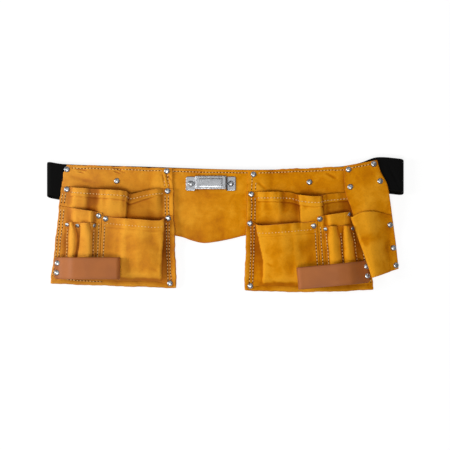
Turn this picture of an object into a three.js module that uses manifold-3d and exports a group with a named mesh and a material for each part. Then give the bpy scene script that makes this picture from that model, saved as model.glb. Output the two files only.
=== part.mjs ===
// A carpenter's nail apron in split leather, lying on its back with the waist belt buckled behind it.
// Two flared pouches hang from a webbing belt, joined by a centre panel that carries a steel tape clip.
// Each pouch is one folded piece of leather (back and upper pocket) with a nail pocket, a tool pocket,
// two pencil sleeves and a hammer loop on it, and a side holster overlaps the right pouch.
// Units are millimetres. X runs to the right as seen from the front, Y towards the waist edge, and
// Z away from the surface it lies on. The origin is under the middle of the whole apron.
import * as THREE from 'three';
import { mergeVertices } from 'three/addons/utils/BufferGeometryUtils.js';
import Module from 'manifold-3d';

const wasm = await Module();
wasm.setup();
const { Manifold, Mesh: SolidMesh } = wasm;

// Walls, and the clearance between pieces that touch
const LEATHER = 1.8;
const LOOP_LEATHER = 2.6;
const WEBBING = 1.8;
const CLIP_STEEL = 1.2;
const GAP = 0.35;

// Waist belt: a whole loop, flattened, with its fastening in the middle of the back run
const BELT_WIDTH = 50;
const BELT_REACH = { left: 26.3, right: 40.6 };
const BELT_HOLLOW = 10.6;
const BACK_RUN_DROP = 5;
const BELT_SHOWING = { leftEnd: 5, corner: 0.9, front: 1.2, holster: 4.6, rightEnd: 2 };
const BUCKLE_LENGTH = 66;
const BUCKLE_WIDTH = 56;
const BUCKLE_HEIGHT = 6.4;
const BUCKLE_MOUTH = 9;
const BUCKLE_CHAMFER = 1.2;
const BUCKLE_LEAD = 2;
const BUCKLE_RAMP = 40;

// Pouches: flared panels hung by their top edge
const POUCH_TOP_WIDTH = 163;
const POUCH_HEIGHT = 180;
const POUCH_FOLD = 2.2;
const POUCH_FOOT = 0.982;
const PATCH_SEAM = 6.4;
const NAIL_CORNER_SEAM = 12;
const INNER_MARGIN = 14;
const TOOL_MARGIN = 16;
const FLOOR_LIFT = 1.7;
const DROP_START = 5;
const DROP_RUN = 70;
const STEP_SHARE = 0.1;
const STEP_RUN = 24;
const SLEEVE_STITCH = 1.9;
const SLEEVE_CORNER = 5.2;

// Depth of each pocket, from the layer behind it to its front wall
const UPPER_DEPTH = 14;
const NAIL_DEPTH = 12;
const TOOL_DEPTH = 8.5;
const SLEEVE_DEPTH = 9;
const HOLSTER_DEPTH = 8.5;

// Centre panel and its tape clip
const CENTRE_OVERLAP = 15;
const CENTRE_SIDE_HEIGHT = 101;
const CENTRE_BELLY = 10;
const CLIP_LENGTH = 75;
const CLIP_WIDTH = 21.5;
const CLIP_TAB = 15;
const CLIP_RISE = 5.4;
const CLIP_BELOW_TOP = 22;
const CLIP_OFFSET = 0.8;
const CLIP_SLANT = 1.6;

// Hammer loops
const LOOP_WIDTH = 33;
const LOOP_HOLLOW = 7.5;
const LOOP_SEAT = 9;
const LOOP_RAMP = 22;
const LOOP_CLEARANCE = 1.4;

// Side holster
const HOLSTER_WIDTH = 61;
const HOLSTER_LEFT_HEIGHT = 0.925 * POUCH_HEIGHT;
const HOLSTER_RIGHT_HEIGHT = 0.906 * POUCH_HEIGHT;
const HOLSTER_SHOULDER = 9;
const HOLSTER_SEAM = 9;
const HOLSTER_FOLD = 4;
const HOLSTER_INSET = 19.5;
const HOLSTER_CLEARANCE = 1.6;
const HOLSTER_LOOP_FROM = 0.75;
const HOLSTER_SPAN = 0.05;

// Rivets
const RIVET_HEAD_RADIUS = 4.7;
const RIVET_HEAD_HEIGHT = 1.6;
const RIVET_SMALL_RADIUS = 3.3;
const RIVET_FLAT_SHARE = 0.62;
const RIVET_SEAT = 0.7;
const RIVET_SMALL_SEAT = 1.5;
const RIVET_BACK_SPREAD = 6.5;
const RIVET_BACK_SHARE = 0.8;
const RIVET_BACK_HEIGHT = 0.9;
const RIVET_SHANK_RADIUS = 1.2;
const RIVET_HOLE_RADIUS = 2.2;
const RIVET_SIDES = 7;
const RIVET_HOLE_SIDES = 4;

// Where each pouch hangs. The tilt is in degrees; flares, drop and sag are lengths at its foot.
const pouchRows = {
  left: {
    side: -1, innerX: -78.8, topY: 84.3, tilt: 2.0, innerFlare: 11.6, outerFlare: 15.1, outerDrop: 0, sag: 0,
  },
  right: {
    side: 1, innerX: 33.8, topY: 81, tilt: 2.3, innerFlare: 12.4, outerFlare: 18.9, outerDrop: 7, sag: 3,
  },
};

// Shares of a pouch's height at which all of its layers have a row of points
const LEVELS = [0.275, 0.34, 0.405, 0.467, 0.56, 0.66, 0.76, 0.86, 0.952];
const NAIL_FOOT = LEVELS[LEVELS.length - 1];
const NAIL_CORNER = 0.975;

// Rim of each pocket: across is a share of the pouch's width from its inner edge,
// down is a share of its height from its top.
const upperRims = {
  left: [
    { across: 0.05, down: 0.17 }, { across: 0.13, down: 0.174 }, { across: 0.26, down: 0.198 },
    { across: 0.385, down: 0.226 }, { across: 0.435, down: 0.203 }, { across: 0.7, down: 0.195 },
    { across: 0.94, down: 0.186 },
  ],
  right: [
    { across: 0.06, down: 0.178 }, { across: 0.37, down: 0.192 }, { across: 0.47, down: 0.217 },
    { across: 0.62, down: 0.232 }, { across: 0.69, down: 0.22 }, { across: 0.94, down: 0.205 },
  ],
};
const nailRims = {
  left: [
    { across: 0, down: 0.388 }, { across: 0.06, down: 0.392 }, { across: 0.11, down: 0.428 },
    { across: 0.3, down: 0.43 }, { across: 0.617, down: 0.412 },
  ],
  right: [
    { across: 0, down: 0.41 }, { across: 0.05, down: 0.415 }, { across: 0.1, down: 0.448 },
    { across: 0.3, down: 0.444 }, { across: 0.6, down: 0.427 },
  ],
};
const toolRims = {
  left: [{ across: 0.628, down: 0.385 }, { across: 0.72, down: 0.374 }, { across: 1, down: 0.342 }],
  right: [
    { across: 0.608, down: 0.39 }, { across: 0.75, down: 0.375 }, { across: 0.886, down: 0.36 },
    { across: 1, down: 0.35 },
  ],
};
const SLEEVE_RIM = LEVELS[3];

// Where the pockets end and are sewn, as shares of the pouch's width from its inner edge
const pocketEdges = {
  left: { nail: 0.617, tool: 0.628, sleeves: [0.668, 0.687, 0.817, 0.912, 0.928] },
  right: { nail: 0.6, tool: 0.608, sleeves: [0.648, 0.667, 0.777, 0.885, 0.903] },
};

// Folds of the upper pocket's front at its rim: lift is a share of UPPER_DEPTH
const upperFolds = {
  left: [
    { across: 0, lift: 0 }, { across: 0.085, lift: 0 }, { across: 0.17, lift: 0.42 },
    { across: 0.3, lift: 0.46 }, { across: 0.385, lift: 0.5 }, { across: 0.435, lift: 1 },
    { across: 0.53, lift: 0.98 }, { across: 0.66, lift: 0.7 }, { across: 0.817, lift: 0.95 },
    { across: 0.912, lift: 0 }, { across: 1, lift: 0 },
  ],
  right: [
    { across: 0, lift: 0 }, { across: 0.085, lift: 0 }, { across: 0.19, lift: 0.72 },
    { across: 0.29, lift: 0.68 }, { across: 0.4, lift: 0.46 }, { across: 0.47, lift: 0.92 },
    { across: 0.6, lift: 1 }, { across: 0.667, lift: 0.6 }, { across: 0.777, lift: 0.5 },
    { across: 0.85, lift: 0 }, { across: 1, lift: 0 },
  ],
};
// The same front lower down, where the folds have run out into one dome
const upperDome = [
  { across: 0, lift: 0 }, { across: 0.085, lift: 0 }, { across: 0.3, lift: 0.62 },
  { across: 0.6, lift: 0.6 }, { across: 0.9, lift: 0 }, { across: 1, lift: 0 },
];
const DOME_RUN = 0.3;
const DOME_FOOT = 0.3;

// Front of the nail pocket: across is a share of the room between its seams, from the inner one.
// Its inner flank is a gusset that widens towards the foot.
const nailFront = [{ across: 0.3, lift: 0.92 }, { across: 0.5, lift: 1 }, { across: 0.75, lift: 0.82 }];
const NAIL_FLANK = 0.26;
const GUSSET_RIM = 0.17;
const GUSSET_FOOT = { left: 0.24, right: 0.3 };

// Columns of points shared by the layers of each pouch, inner edge to outer edge
const columns = {
  left: [0, 0.085, 0.13, 0.19, 0.3, 0.385, 0.435, 0.53, 0.597, 0.66, 0.687, 0.752, 0.817, 0.8645, 0.912, 1],
  right: [0, 0.085, 0.13, 0.19, 0.3, 0.4, 0.47, 0.54, 0.6, 0.64, 0.667, 0.722, 0.777, 0.831, 0.885, 1],
};

// Edges of the holster from its top: left and right are shares of its width, from its top left corner
const holsterEdges = [
  { across: 0, left: 0, right: 0.824 }, { across: 0.115, left: 0.014, right: 0.922 },
  { across: 0.21, left: 0.03, right: 1.06 }, { across: 0.284, left: 0.074, right: 1.11 },
  { across: 0.356, left: 0.16, right: 1.14 }, { across: 0.42, left: 0.21, right: 1.168 },
  { across: 0.453, left: 0.228, right: 1.18 }, { across: 0.71, left: 0.48, right: 1.28 },
  { across: 1, left: 0.75, right: 1.365 },
];
const HOLSTER_MOUTH = 0.453;
const holsterRim = [
  { across: 0, down: HOLSTER_MOUTH }, { across: 0.12, down: 0.437 }, { across: 0.3, down: 0.43 },
  { across: 0.6, down: 0.447 }, { across: 1, down: 0.504 },
];

// Foot of the centre panel, from the left: depth is a share of CENTRE_BELLY
const centreFoot = [
  { across: 0, depth: 0 }, { across: 0.1, depth: 0 }, { across: 0.2, depth: 0.22 },
  { across: 0.29, depth: 0.65 }, { across: 0.42, depth: 1 }, { across: 0.55, depth: 0.79 },
  { across: 0.72, depth: 0.28 }, { across: 0.88, depth: -0.3 }, { across: 1, depth: -0.4 },
];

// Hammer loops: where the middle of each riveted end lies on its pouch, the slope of the strap in
// degrees, and its length as a share of the pouch's top width
const loopRows = {
  left: { across: 0.9784, down: 0.8667, slope: 0, length: 0.607 },
  right: { across: 0.9817, down: 0.849, slope: 5.5, length: 0.6626 },
};

const rad = THREE.MathUtils.degToRad;
const clamp01 = (x) => Math.min(1, Math.max(0, x));
const smooth = (x) => clamp01(x) ** 2 * (3 - 2 * clamp01(x));
const mix = (a, b, k) => a + (b - a) * k;

// A value read from a short table, easing from each row to the next
function readRows(rows, at, column) {
  if (at <= rows[0].across) return rows[0][column];
  const i = rows.findIndex((row) => at <= row.across);
  if (i < 0) return rows[rows.length - 1][column];
  const [from, to] = [rows[i - 1], rows[i]];
  return mix(from[column], to[column], smooth((at - from.across) / (to.across - from.across)));
}

// A smooth line through the rows of a table, read in order of across
function lineThrough(rows, column) {
  const last = rows.length - 1;
  const slopes = rows.map((row, i) => {
    const [a, b] = [rows[Math.max(0, i - 1)], rows[Math.min(last, i + 1)]];
    return (b[column] - a[column]) / (b.across - a.across);
  });
  return (at) => {
    if (at <= rows[0].across) return rows[0][column];
    if (at >= rows[last].across) return rows[last][column];
    const i = rows.findIndex((row) => row.across > at) - 1;
    const span = rows[i + 1].across - rows[i].across;
    const k = (at - rows[i].across) / span;
    const start = rows[i][column] * (1 + 2 * k) * (1 - k) ** 2 + slopes[i] * span * k * (1 - k) ** 2;
    return start + rows[i + 1][column] * k * k * (3 - 2 * k) + slopes[i + 1] * span * k * k * (k - 1);
  };
}

// Even steps from one value to another
function steps(from, to, count) {
  return Array.from({ length: count + 1 }, (_, i) => mix(from, to, i / count));
}

// A pouch's own plane: across runs from its inner to its outer edge, down from its top to its foot
function pouchPlan(row) {
  const widthAt = (down) => POUCH_TOP_WIDTH + (row.innerFlare + row.outerFlare) * down;
  const [cos, sin] = [Math.cos(rad(row.tilt)), Math.sin(rad(row.tilt))];
  const sagAt = (across, down) => row.sag * 4 * across * (1 - across) * down ** 4;
  const at = (across, down) => {
    const x = across * widthAt(down) - row.innerFlare * down;
    const y = -down * (POUCH_HEIGHT + row.outerDrop * across) - sagAt(across, down);
    return { x: row.innerX + row.side * (x * cos - y * sin), y: row.topY + x * sin + y * cos };
  };
  const locate = (x, y) => {
    const [dx, dy] = [row.side * (x - row.innerX), y - row.topY];
    const [u, v] = [dx * cos + dy * sin, dy * cos - dx * sin];
    let [across, down] = [0.5, 0.5];
    for (let i = 0; i < 8; i += 1) {
      down = -(v + sagAt(across, down)) / (POUCH_HEIGHT + row.outerDrop * across);
      across = (u + row.innerFlare * down) / widthAt(down);
    }
    return { across, down };
  };
  return { widthAt, at, locate };
}
const plans = { left: pouchPlan(pouchRows.left), right: pouchPlan(pouchRows.right) };

// The holster's plane: across runs from the fold on its left to its riveted right edge
const holsterLeft = lineThrough(holsterEdges, 'left');
const holsterRight = lineThrough(holsterEdges, 'right');
const holsterMouth = lineThrough(holsterRim, 'down');
function holsterAt(across, down) {
  const corner = plans.right.at(1, 0);
  const [left, right] = [holsterLeft(down), holsterRight(down)].map((share) => share * HOLSTER_WIDTH);
  const y = mix(-HOLSTER_LEFT_HEIGHT * down, HOLSTER_SHOULDER - HOLSTER_RIGHT_HEIGHT * down, across);
  return { x: corner.x - HOLSTER_INSET + mix(left, right, across), y: corner.y + y };
}

// Belt route: its upper edge shows just above the leather's top edges
const beltLeft = plans.left.at(1, 0).x - BELT_REACH.left;
const beltRight = holsterAt(1, 0).x + BELT_REACH.right;
const beltMiddle = (beltLeft + beltRight) / 2;
const beltTop = lineThrough([
  { across: beltLeft, y: plans.left.at(1, 0).y + BELT_SHOWING.leftEnd },
  { across: plans.left.at(1, 0).x, y: plans.left.at(1, 0).y + BELT_SHOWING.corner },
  { across: plans.left.at(0.3, 0).x, y: plans.left.at(0.3, 0).y + BELT_SHOWING.front },
  { across: plans.right.at(0.1, 0).x, y: plans.right.at(0.1, 0).y + BELT_SHOWING.corner },
  { across: plans.right.at(0.86, 0).x, y: plans.right.at(0.86, 0).y + BELT_SHOWING.front },
  { across: holsterAt(0.5, 0).x, y: holsterAt(0.5, 0).y + BELT_SHOWING.corner },
  { across: holsterAt(1, 0).x, y: holsterAt(1, 0).y + BELT_SHOWING.holster },
  { across: beltRight, y: holsterAt(1, 0).y + BELT_SHOWING.rightEnd },
], 'y');
const BELT_TOP_FACE = 2 * WEBBING + BELT_HOLLOW;

// Underside of leather that lies straight on the belt and, below it, sinks to the surface
function restHeight(x, y) {
  const below = beltTop(x) - y - BELT_WIDTH - DROP_START;
  return mix(BELT_TOP_FACE + GAP, FLOOR_LIFT, smooth(below / DROP_RUN));
}

// Upward normal of a surface given over two shares
function normalAt(surface, a, b) {
  const step = 1e-4;
  const alongA = surface(a + step, b).sub(surface(a - step, b));
  const alongB = surface(a, b + step).sub(surface(a, b - step));
  return alongA.cross(alongB).normalize();
}
function upAt(surface, a, b) {
  const normal = normalAt(surface, a, b);
  return normal.z < 0 ? normal.negate() : normal;
}

// A surface flattened to the facets between two lists of shares, so that layers on it can follow them
function facets(surface, aStops, bStops) {
  const points = bStops.map((b) => aStops.map((a) => surface(a, b)));
  const cell = (stops, at) => {
    const i = Math.min(stops.length - 2, Math.max(0, stops.findIndex((stop) => stop > at) - 1));
    const beyond = at >= stops[stops.length - 1] ? stops.length - 2 : i;
    return [beyond, (at - stops[beyond]) / (stops[beyond + 1] - stops[beyond])];
  };
  return (a, b) => {
    const [[i, u], [j, v]] = [cell(aStops, a), cell(bStops, b)];
    const near = points[j][i].clone().lerp(points[j][i + 1], u);
    return near.lerp(points[j + 1][i].clone().lerp(points[j + 1][i + 1], u), v);
  };
}

// The next layer out: one wall and one clearance along the normal, then raised by the pocket's depth
function raise(surface, lift) {
  return (across, down) => {
    const point = surface(across, down).addScaledVector(upAt(surface, across, down), LEATHER + GAP);
    return point.add(new THREE.Vector3(0, 0, lift(across, down)));
  };
}

// A closed wall around a middle surface, over two lists of shares; keep says which cells it has
function wallGeometry(surface, aStops, bStops, thickness, keep = () => true) {
  const [wide, high] = [aStops.length, bStops.length];
  const sheet = wide * high;
  const positions = new Float32Array(sheet * 6);
  bStops.forEach((b, j) => aStops.forEach((a, i) => {
    const middle = surface(a, b);
    const out = normalAt(surface, a, b).multiplyScalar(thickness / 2);
    const k = j * wide + i;
    middle.clone().add(out).toArray(positions, k * 3);
    middle.clone().sub(out).toArray(positions, (sheet + k) * 3);
  }));
  const index = [];
  const edges = new Map();
  const note = (from, to) => {
    if (!edges.delete(`${to},${from}`)) edges.set(`${from},${to}`, [from, to]);
  };
  for (let j = 0; j < high - 1; j += 1) {
    for (let i = 0; i < wide - 1; i += 1) {
      if (!keep(aStops[i], bStops[j])) continue;
      const ring = [j * wide + i, j * wide + i + 1, (j + 1) * wide + i + 1, (j + 1) * wide + i];
      const [p, q, r, s] = ring;
      index.push(p, q, r, p, r, s);
      index.push(sheet + p, sheet + r, sheet + q, sheet + p, sheet + s, sheet + r);
      ring.forEach((from, n) => note(from, ring[(n + 1) % 4]));
    }
  }
  for (const [from, to] of edges.values()) {
    index.push(from, from + sheet, to + sheet, from, to + sheet, to);
  }
  const geometry = new THREE.BufferGeometry();
  geometry.setAttribute('position', new THREE.BufferAttribute(positions, 3));
  geometry.setIndex(index);
  return geometry;
}

// A strip along a path of [x, z] points, reaching down from an edge line given over x and z
function stripGeometry(path, thickness, width, edgeAt = () => 0) {
  const middle = (run, share) => {
    const i = Math.min(path.length - 2, Math.max(0, Math.floor(run)));
    const [x, z] = [0, 1].map((axis) => mix(path[i][axis], path[i + 1][axis], run - i));
    return new THREE.Vector3(x, edgeAt(x, z) - share * width, z);
  };
  return wallGeometry(middle, path.map((_, i) => i), [0, 1], thickness);
}

// A three.js geometry as a closed solid, and back
function toSolid(geometry) {
  const bare = geometry.clone();
  bare.deleteAttribute('normal');
  bare.deleteAttribute('uv');
  const merged = mergeVertices(bare, 1e-4);
  const corners = merged.index.array;
  const kept = [];
  for (let i = 0; i < corners.length; i += 3) {
    const [a, b, c] = [corners[i], corners[i + 1], corners[i + 2]];
    if (a !== b && b !== c && c !== a) kept.push(a, b, c);
  }
  return new Manifold(new SolidMesh({
    numProp: 3,
    vertProperties: new Float32Array(merged.attributes.position.array),
    triVerts: new Uint32Array(kept),
  }));
}
function toGeometry(solid) {
  const mesh = solid.getMesh();
  const geometry = new THREE.BufferGeometry();
  geometry.setAttribute('position', new THREE.BufferAttribute(mesh.vertProperties, 3));
  geometry.setIndex(new THREE.BufferAttribute(mesh.triVerts, 1));
  geometry.computeVertexNormals();
  return geometry;
}

const pieces = new Map();
function addPiece(name, geometry, finish) {
  pieces.set(name, { solid: toSolid(geometry), finish });
}

// Back of a pouch: the middle surface of its rear wall, stepping up over the centre panel's edge
function backSurface(plan) {
  return (across, down) => {
    const { x, y } = plan.at(across, down);
    const overlap = (CENTRE_OVERLAP + PATCH_SEAM) / plan.widthAt(down);
    const beside = 1 - smooth((across - overlap) / STEP_SHARE);
    const above = 1 - smooth((down * POUCH_HEIGHT - CENTRE_SIDE_HEIGHT) / STEP_RUN);
    return new THREE.Vector3(x, y, restHeight(x, y) + LEATHER / 2 + (LEATHER + GAP) * beside * above);
  };
}

// Front of a pouch's upper pocket
function upperSurface(hand, back) {
  const rim = lineThrough(upperRims[hand], 'down');
  return raise(back, (across, down) => {
    const folds = readRows(upperFolds[hand], across, 'lift');
    const dome = readRows(upperDome, across, 'lift');
    const foot = mix(1, DOME_FOOT, smooth((down - 0.55) / 0.43));
    return UPPER_DEPTH * foot * mix(folds, dome, smooth((down - rim(across)) / DOME_RUN));
  });
}

// Front of the nail pocket, sewn on the upper pocket's front
function nailSurface(hand, plan, front) {
  const rim = lineThrough(nailRims[hand], 'down');
  return raise(front, (across, down) => {
    const along = clamp01((down - rim(across)) / (NAIL_FOOT - rim(across)));
    const near = INNER_MARGIN / plan.widthAt(down);
    const seam = mix(NAIL_CORNER_SEAM, PATCH_SEAM, smooth(along / 0.3));
    const far = pocketEdges[hand].nail - seam / plan.widthAt(down);
    const share = (across - near) / (far - near);
    const gusset = mix(GUSSET_RIM, GUSSET_FOOT[hand], along);
    const flanks = smooth(share / gusset) * smooth((1 - share) / NAIL_FLANK);
    const foot = 1 - smooth((along - 0.82) / 0.15);
    return NAIL_DEPTH * readRows(nailFront, share, 'lift') * flanks * foot * mix(1, 0.82, along);
  });
}

// Front of the tool pocket, beside the nail pocket and on the same wall
function toolSurface(hand, plan, front) {
  const rim = lineThrough(toolRims[hand], 'down');
  return raise(front, (across, down) => {
    const along = clamp01((down - rim(across)) / (NAIL_FOOT - rim(across)));
    const near = pocketEdges[hand].tool + (2 * PATCH_SEAM) / plan.widthAt(down);
    const far = 1 - TOOL_MARGIN / plan.widthAt(down);
    const share = (across - near) / (far - near);
    const flanks = smooth(share / 0.3) * smooth((1 - share) / 0.34);
    return TOOL_DEPTH * flanks * mix(1, 0.32, smooth(along / 0.7)) * (1 - smooth((along - 0.84) / 0.15));
  });
}

// The pair of pencil sleeves, stitched down the middle, on the tool pocket
function sleeveSurface(hand, plan, tool) {
  const seams = pocketEdges[hand].sleeves.slice(1, 4);
  return raise(tool, (across, down) => {
    const along = clamp01((down - SLEEVE_RIM) / (NAIL_FOOT - SLEEVE_RIM));
    const cell = across < seams[1] ? 0 : 1;
    const edge = mix(SLEEVE_CORNER, SLEEVE_STITCH, smooth(along / 0.3)) / plan.widthAt(down);
    const [near, far] = [seams[cell] + edge, seams[cell + 1] - edge];
    const crown = Math.sin(Math.PI * clamp01((across - near) / (far - near))) ** 0.75;
    return SLEEVE_DEPTH * crown * mix(1, 0.4, smooth(along / 0.7)) * (1 - smooth((along - 0.84) / 0.15));
  });
}

// The whole pouch as one folded sheet: run 0 to 1 is the back from its top to its foot,
// 1 to 2 the fold, 2 to 3 the front from its foot up to the rim
function pouchSheet(hand, back, front) {
  const rim = lineThrough(upperRims[hand], 'down');
  const top = LEVELS[0];
  return (across, run) => {
    if (run <= 1) return back(across, Math.min(run, POUCH_FOOT));
    if (run >= 2) {
      const down = Math.min(3 - run, POUCH_FOOT);
      return front(across, down > top ? down : mix(rim(across), top, down / top));
    }
    const [low, high] = [back(across, POUCH_FOOT), front(across, POUCH_FOOT)];
    const middle = low.clone().add(high).multiplyScalar(0.5);
    const arm = low.sub(middle);
    const turn = (run - 1) * Math.PI;
    const out = new THREE.Vector3(0, -Math.max(arm.length(), POUCH_FOLD), 0);
    return middle.addScaledVector(arm, Math.cos(turn)).addScaledVector(out, Math.sin(turn));
  };
}

// A patch sewn on a pouch, from its rim line down to its foot line
function patchSheet(surface, rim, levels, foot) {
  const [first, last] = [levels[0], levels[levels.length - 1]];
  return (across, down) => {
    if (down < first) return surface(across, mix(rim(across), first, down / first));
    return surface(across, down > last ? mix(last, foot(across), (down - last) / (1 - last)) : down);
  };
}

const surfaces = {};
function makePouch(hand) {
  const plan = plans[hand];
  const edges = pocketEdges[hand];
  const outer = [edges.sleeves[3], edges.sleeves[4]].filter((edge) => !columns[hand].includes(edge));
  const toolStops = [edges.tool, ...columns[hand].filter((across) => across > edges.tool + 0.01), ...outer];
  toolStops.sort((a, b) => a - b);
  const rows = [0, ...LEVELS, 1];
  const back = facets(backSurface(plan), columns[hand], rows);
  const frontRows = [...steps(0, LEVELS[0], 4), ...LEVELS.slice(1), 1];
  const front = facets(upperSurface(hand, back), columns[hand], frontRows);
  const nailStops = [...columns[hand].filter((across) => across < edges.nail), edges.nail];
  const nail = facets(nailSurface(hand, plan, front), nailStops, rows);
  const tool = facets(toolSurface(hand, plan, front), toolStops, rows);
  const [from, first, middle, last, to] = edges.sleeves;
  const inside = (a, b) => [0.2, 0.4, 0.6, 0.8].map((k) => mix(a, b, k));
  const sleeveStops = [from, first, ...inside(first, middle), middle, ...inside(middle, last), last, to];
  const sleeve = facets(sleeveSurface(hand, plan, tool), sleeveStops, rows);
  surfaces[hand] = { back, front, nail, tool, sleeve };

  const backRuns = [0, ...LEVELS.slice(0, 6)];
  const frontRuns = [...LEVELS.slice().reverse().map((level) => 3 - level), 3];
  const runs = [...backRuns, ...steps(1, 2, 2), ...frontRuns];
  const folded = wallGeometry(pouchSheet(hand, back, front), columns[hand], runs, LEATHER);
  addPiece(`${hand}_pouch`, folded, 'suede');

  const onward = (from) => LEVELS.filter((level) => level > from);
  const nailLevels = onward(0.45).slice(0, -1);
  const nailFoot = (across) => mix(NAIL_CORNER, NAIL_FOOT, smooth(across / 0.16));
  const nailSheet = patchSheet(nail, lineThrough(nailRims[hand], 'down'), nailLevels, nailFoot);
  const nailWall = wallGeometry(nailSheet, nailStops, [0, ...nailLevels, 1], LEATHER);
  addPiece(`${hand}_nail_pocket`, nailWall, 'suede');

  const flatFoot = () => NAIL_FOOT;
  const toolLevels = onward(0.4).slice(0, -1);
  const toolSheet = patchSheet(tool, lineThrough(toolRims[hand], 'down'), toolLevels, flatFoot);
  const toolWall = wallGeometry(toolSheet, toolStops, [0, ...toolLevels, 1], LEATHER);
  addPiece(`${hand}_tool_pocket`, toolWall, 'suede');

  const sleeveLevels = onward(SLEEVE_RIM).slice(0, -1);
  const sleeveSheet = patchSheet(sleeve, () => SLEEVE_RIM, sleeveLevels, flatFoot);
  const sleeves = wallGeometry(sleeveSheet, sleeveStops, [0, ...sleeveLevels, 1], LEATHER);
  addPiece(`${hand}_pencil_sleeves`, sleeves, 'suede');
}
makePouch('left');
makePouch('right');

// Middle surface of the outermost layer of a pouch at a place on it
function outermost(hand, across, down) {
  const { back, front, nail, tool, sleeve } = surfaces[hand];
  const edges = pocketEdges[hand];
  const inside = (rims) => down > lineThrough(rims[hand], 'down')(across);
  if (across < edges.nail && inside(nailRims)) return nail(across, down);
  const sleeved = across > edges.sleeves[0] && across < edges.sleeves[4] && down > SLEEVE_RIM;
  if (sleeved) return sleeve(across, down);
  if (across > edges.tool && inside(toolRims)) return tool(across, down);
  return inside(upperRims) ? front(across, down) : back(across, down);
}

// Upper face of whatever part of a pouch lies under a point, or nothing beyond its edges
function stackTop(hand, x, y) {
  const { across, down } = plans[hand].locate(x, y);
  const outside = Math.abs(across - 0.5) > 0.505 || Math.abs(down - 0.5) > 0.52;
  return outside ? 0 : outermost(hand, clamp01(across), Math.min(clamp01(down), NAIL_FOOT)).z + LEATHER / 2;
}

// Centre panel: behind both pouches' inner margins, with a rounded foot
const centreDepth = lineThrough(centreFoot, 'depth');
function centreAt(share, down) {
  const run = (down * CENTRE_SIDE_HEIGHT) / POUCH_HEIGHT;
  const [a, b] = [plans.left, plans.right].map((plan) => plan.at(CENTRE_OVERLAP / plan.widthAt(run), run));
  const belly = CENTRE_BELLY * centreDepth(share) * down;
  return { x: mix(a.x, b.x, share), y: mix(a.y, b.y, share) - belly };
}
function centreSurface(share, down) {
  const { x, y } = centreAt(share, down);
  return new THREE.Vector3(x, y, restHeight(x, y) + LEATHER / 2);
}
const centreLevels = LEVELS.slice(0, 4).map((level) => (level * POUCH_HEIGHT) / CENTRE_SIDE_HEIGHT);
const centreRows = [0, ...centreLevels, 1];
const centreStops = centreFoot.map((row) => row.across);
addPiece('centre_panel', wallGeometry(centreSurface, centreStops, centreRows, LEATHER), 'suede');

// Tape clip: a bent steel strip on the centre panel
const clipAt = (() => {
  const top = centreAt(0.5, 0);
  return new THREE.Vector3(top.x + CLIP_OFFSET, top.y - CLIP_BELOW_TOP, BELT_TOP_FACE + LEATHER + 2 * GAP);
})();
const clipBase = CLIP_STEEL / 2;
const clipBend = CLIP_LENGTH / 2 - CLIP_TAB;
const clipHalfPath = [
  [CLIP_LENGTH / 2, clipBase], [clipBend + CLIP_SLANT, clipBase], [clipBend, clipBase + CLIP_RISE],
];
const clipPath = [...clipHalfPath.map(([x, z]) => [-x, z]), ...clipHalfPath.slice().reverse()];
const clip = stripGeometry(clipPath, CLIP_STEEL, CLIP_WIDTH);
clip.translate(clipAt.x, clipAt.y + CLIP_WIDTH / 2, clipAt.z);
addPiece('tape_clip', clip, 'steel');

// Belt: the flattened loop's path in X and Z, from one side of the buckle round to the other
const beltPath = (() => {
  const [low, atBuckle] = [WEBBING / 2, BUCKLE_HEIGHT / 2];
  const radius = (BELT_HOLLOW + WEBBING) / 2;
  const turnX = beltRight - beltMiddle - radius - WEBBING / 2;
  const mouth = BUCKLE_LENGTH / 2 + BUCKLE_LEAD;
  const half = [[BUCKLE_LENGTH / 2 - BUCKLE_MOUTH + GAP, atBuckle], [mouth, atBuckle]];
  for (const k of [0.25, 0.5, 0.75, 1]) half.push([mouth + k * BUCKLE_RAMP, mix(atBuckle, low, smooth(k))]);
  for (const k of [0.4, 0.75]) half.push([mix(mouth + BUCKLE_RAMP, turnX, k), low]);
  for (const turn of steps(-Math.PI / 2, Math.PI / 2, 6)) {
    half.push([turnX + radius * Math.cos(turn), low + radius + radius * Math.sin(turn)]);
  }
  const front = steps(turnX, -turnX, 12).slice(1, -1).map((x) => [x, low + 2 * radius]);
  const loop = [...half, ...front, ...half.map(([x, z]) => [-x, z]).reverse()];
  return loop.map(([x, z]) => [beltMiddle + x, z]);
})();
const backDrop = (z) => BACK_RUN_DROP * (1 - clamp01(z / BELT_TOP_FACE));
const beltEdge = (x, z) => beltTop(x) - backDrop(z);
addPiece('waist_belt', stripGeometry(beltPath, WEBBING, BELT_WIDTH, beltEdge), 'webbing');

// Buckle: one plain closed piece with a mouth at each end for the webbing
function buckleGeometry() {
  const [half, mouth, middle] = [BUCKLE_LENGTH / 2, WEBBING / 2 + GAP, BUCKLE_HEIGHT / 2];
  const inner = half - BUCKLE_MOUTH;
  const right = [
    [half - BUCKLE_CHAMFER, 0], [half, BUCKLE_CHAMFER], [half, middle - mouth], [inner, middle - mouth],
    [inner, middle + mouth], [half, middle + mouth], [half, BUCKLE_HEIGHT - BUCKLE_CHAMFER],
    [half - BUCKLE_CHAMFER, BUCKLE_HEIGHT],
  ];
  const shape = new THREE.Shape();
  const outline = [...right, ...right.map(([x, z]) => [-x, z]).reverse()];
  outline.forEach(([x, z], i) => (i ? shape.lineTo(x, z) : shape.moveTo(x, z)));
  shape.closePath();
  const geometry = new THREE.ExtrudeGeometry(shape, { depth: BUCKLE_WIDTH, bevelEnabled: false });
  geometry.rotateX(Math.PI / 2);
  geometry.translate(beltMiddle, beltEdge(beltMiddle, 0) - (BELT_WIDTH - BUCKLE_WIDTH) / 2, 0);
  return geometry;
}
addPiece('belt_buckle', buckleGeometry(), 'plastic');

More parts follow.
